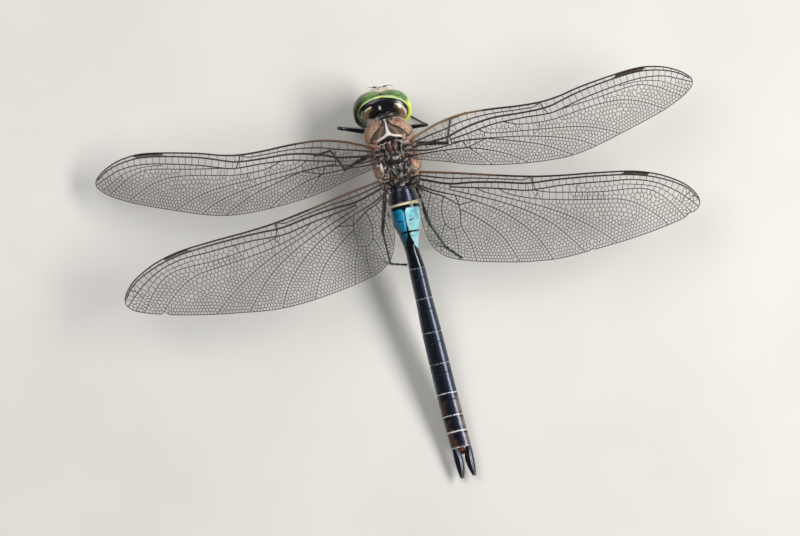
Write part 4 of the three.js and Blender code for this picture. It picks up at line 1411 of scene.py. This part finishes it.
def make_hair():
    """Down on the thorax, longest at its front, and fringes at the shoulders and behind the cheeks."""
    def unwrapped(turn, run):
        """A place's u and v, with the skin opened along the belly."""
        return 0.02 + 0.96 * (turn / pi + 1) / 2, 0.02 + 0.96 * run

    def scatter(size):
        return Vector([rng.uniform(-size, size) for _ in range(3)])

    roots = []
    while len(roots) < DOWN_HAIRS:
        turn, run = rng.uniform(-pi, pi), rng.uniform(0.03, 0.95)
        back, down, _ = thorax_spot(turn, run)
        bare = back > -3.6 and down < 1.1
        if bare or rng.random() > (1.0 if down > 0.7 or back < -6 else 0.45):
            continue
        here = at(*thorax_point(turn, run))
        out = here - at(back, 0, (thorax_top(back) + thorax_bottom(back)) / 2)
        lie = Vector((rng.uniform(-0.3, 0.3), -0.6 + rng.uniform(-0.3, 0.3), rng.uniform(-0.4, 0.1)))
        length = 0.75 if back < -5.5 else 0.55
        roots.append((here, out.normalized() * 0.6 + lie, length * rng.uniform(0.7, 1.2),
                      *unwrapped(turn, run)))
    coat("thorax_down", roots, DOWN_THICK)

    margin = []
    while len(margin) < SHOULDER_HAIRS:
        turn, run = rng.uniform(-pi, pi), rng.uniform(0.01, 0.2)
        back, down, _ = thorax_spot(turn, run)
        if back > -6.5 or not 0.2 < down < 1.5 or (cos(turn) > 0 and rng.random() < 0.75):
            continue
        way = Vector((0.7 * cos(turn), 1.0, 0.5)) + scatter(0.4)
        margin.append((at(*thorax_point(turn, run)), way, rng.uniform(0.5, 0.9), *unwrapped(turn, run)))
    coat("shoulder_fringe", margin, FRINGE_THICK)

    fringe = []
    for _ in range(NECK_TRIES):
        turn = rng.uniform(-0.25 * pi, 1.25 * pi)
        reach = rng.uniform(0.75, 1.0)
        x, z = 3.5 * reach * cos(turn), 0.2 + 2.4 * reach * sin(turn)
        here = on_head(x, NAPE_PLANE - 1.0 * (1.05 - reach), z)
        outward = HEAD.to_3x3() @ Vector((0.5 * cos(turn), -1.0, 0.3 * sin(turn)))
        way = outward + scatter(0.3)
        if abs(x) > 1.6 and z < 1.2:
            fringe.append((here, way, rng.uniform(0.7, 1.3), 0.5 + x / 10, 0.5 + z / 10))
    coat("neck_fringe", fringe, FRINGE_THICK)


# ---- Stage ----
VIEW_TILT = radians(13)  # the animal lies this far off upright in the view
VIEW_UP = Vector((sin(VIEW_TILT), cos(VIEW_TILT), 0))
VIEW_RIGHT = Vector((cos(VIEW_TILT), -sin(VIEW_TILT), 0))
VIEW_WIDTH = 136.2
VIEW_CENTRE = (18.06, -3.39, 8)  # back, side and height of what the camera looks straight down on
FLOOR_HALF = 2.5  # half the floor's side, in metres


def make_stage():
    """A sheet of matt paper: pale, with the faintest mottle, under soft light."""
    material, tree, shader, place = fresh("matt_paper_floor")
    fibre = node(tree, "TexNoise", {"Vector": place, "Scale": 1 / (40 * MM), "Detail": 3.0})
    tone = node(tree, "ValToRGB", {"Fac": fibre.outputs["Fac"]}, stops=[(0.3, "#d6d3cc"), (0.7, "#dfdcd5")])
    tree.links.new(tone.outputs["Color"], shader.inputs["Base Color"])
    shader.inputs["Roughness"].default_value = 0.8
    bm = bmesh.new()
    bmesh.ops.create_grid(bm, x_segments=1, y_segments=1, size=FLOOR_HALF)
    floor = skinned("floor", bm, material)

    world = bpy.data.worlds.new("studio")
    world.use_nodes = True
    backdrop = world.node_tree.nodes["Background"]
    backdrop.inputs["Color"].default_value = linear("#e9ecf2")
    backdrop.inputs["Strength"].default_value = 0.18
    bpy.context.scene.world = world

    centre = Vector((0, 0, 6 * MM))
    # Lamps: right across the view, up it, height, length and width in metres, then watts
    for word, right, up, height, length, width, power in (
            ("key", 0.56, 0.08, 0.46, 0.62, 0.2, 6.4), ("fill", -0.3, 0.3, 0.6, 0.5, 0.5, 2.5)):
        lamp = bpy.data.lights.new(word, "AREA")
        lamp.shape = "RECTANGLE"
        lamp.size, lamp.size_y, lamp.energy = length, width, power
        stand = put(word, lamp)
        stand.location = centre + VIEW_RIGHT * right + VIEW_UP * up + Vector((0, 0, height))
        stand.rotation_euler = (centre - stand.location).to_track_quat("-Z", "Y").to_euler()


def make_camera():
    lens = bpy.data.cameras.new("camera")
    lens.lens, lens.sensor_width = 400, 36
    camera = put("camera", lens)
    reach = VIEW_WIDTH / 2 * MM / (lens.sensor_width / 2 / lens.lens)
    camera.location = at(*VIEW_CENTRE) + Vector((0, 0, reach))
    axes = Matrix((VIEW_RIGHT, VIEW_UP, Vector((0, 0, 1)))).transposed()
    camera.rotation_euler = axes.to_euler()
    lens.clip_start, lens.clip_end = 0.01, 10
    bpy.context.scene.camera = camera


bpy.context.scene.view_settings.view_transform = "Standard"
make_camera()
make_stage()
make_eyes()
make_nape()
make_face()
make_antennae()
make_thorax()
make_wing_plates()
for ring in range(1, 11):
    make_ring(ring)
make_claspers()

fore = dict(root=(-2.0, 3.3, 12.35), length=48.9, leading=fore_leading, trailing=fore_trailing,
            band=fore_band, nodus=22.7, stigma=(36.2, 41.2), veins=FORE_VEINS)
hind = dict(root=(3.6, 3.4, 11.9), length=47.9, leading=hind_leading, trailing=hind_trailing,
            band=hind_band, nodus=18.8, stigma=(34.4, 38.6), veins=HIND_VEINS)
make_wing(Wing("forewing_left", -1, -7.0, 9.0, **fore))
make_wing(Wing("forewing_right", 1, 0.0, 1.6, **fore))
hind_left = Wing("hindwing_left", -1, 11.3, 2.2, nicks=[(42.4, 0.35, 0.6)], **hind)
hind_right = Wing("hindwing_right", 1, 17.7, 2.2, nicks=[(46.3, 0.5, 0.4), (30.2, 0.3, 0.25)], **hind)
for hindwing in (hind_left, hind_right):
    make_wing(hindwing)
    make_membranule(hindwing)
for leg, joints in LEGS.items():
    make_leg(leg, *joints)
make_hair()
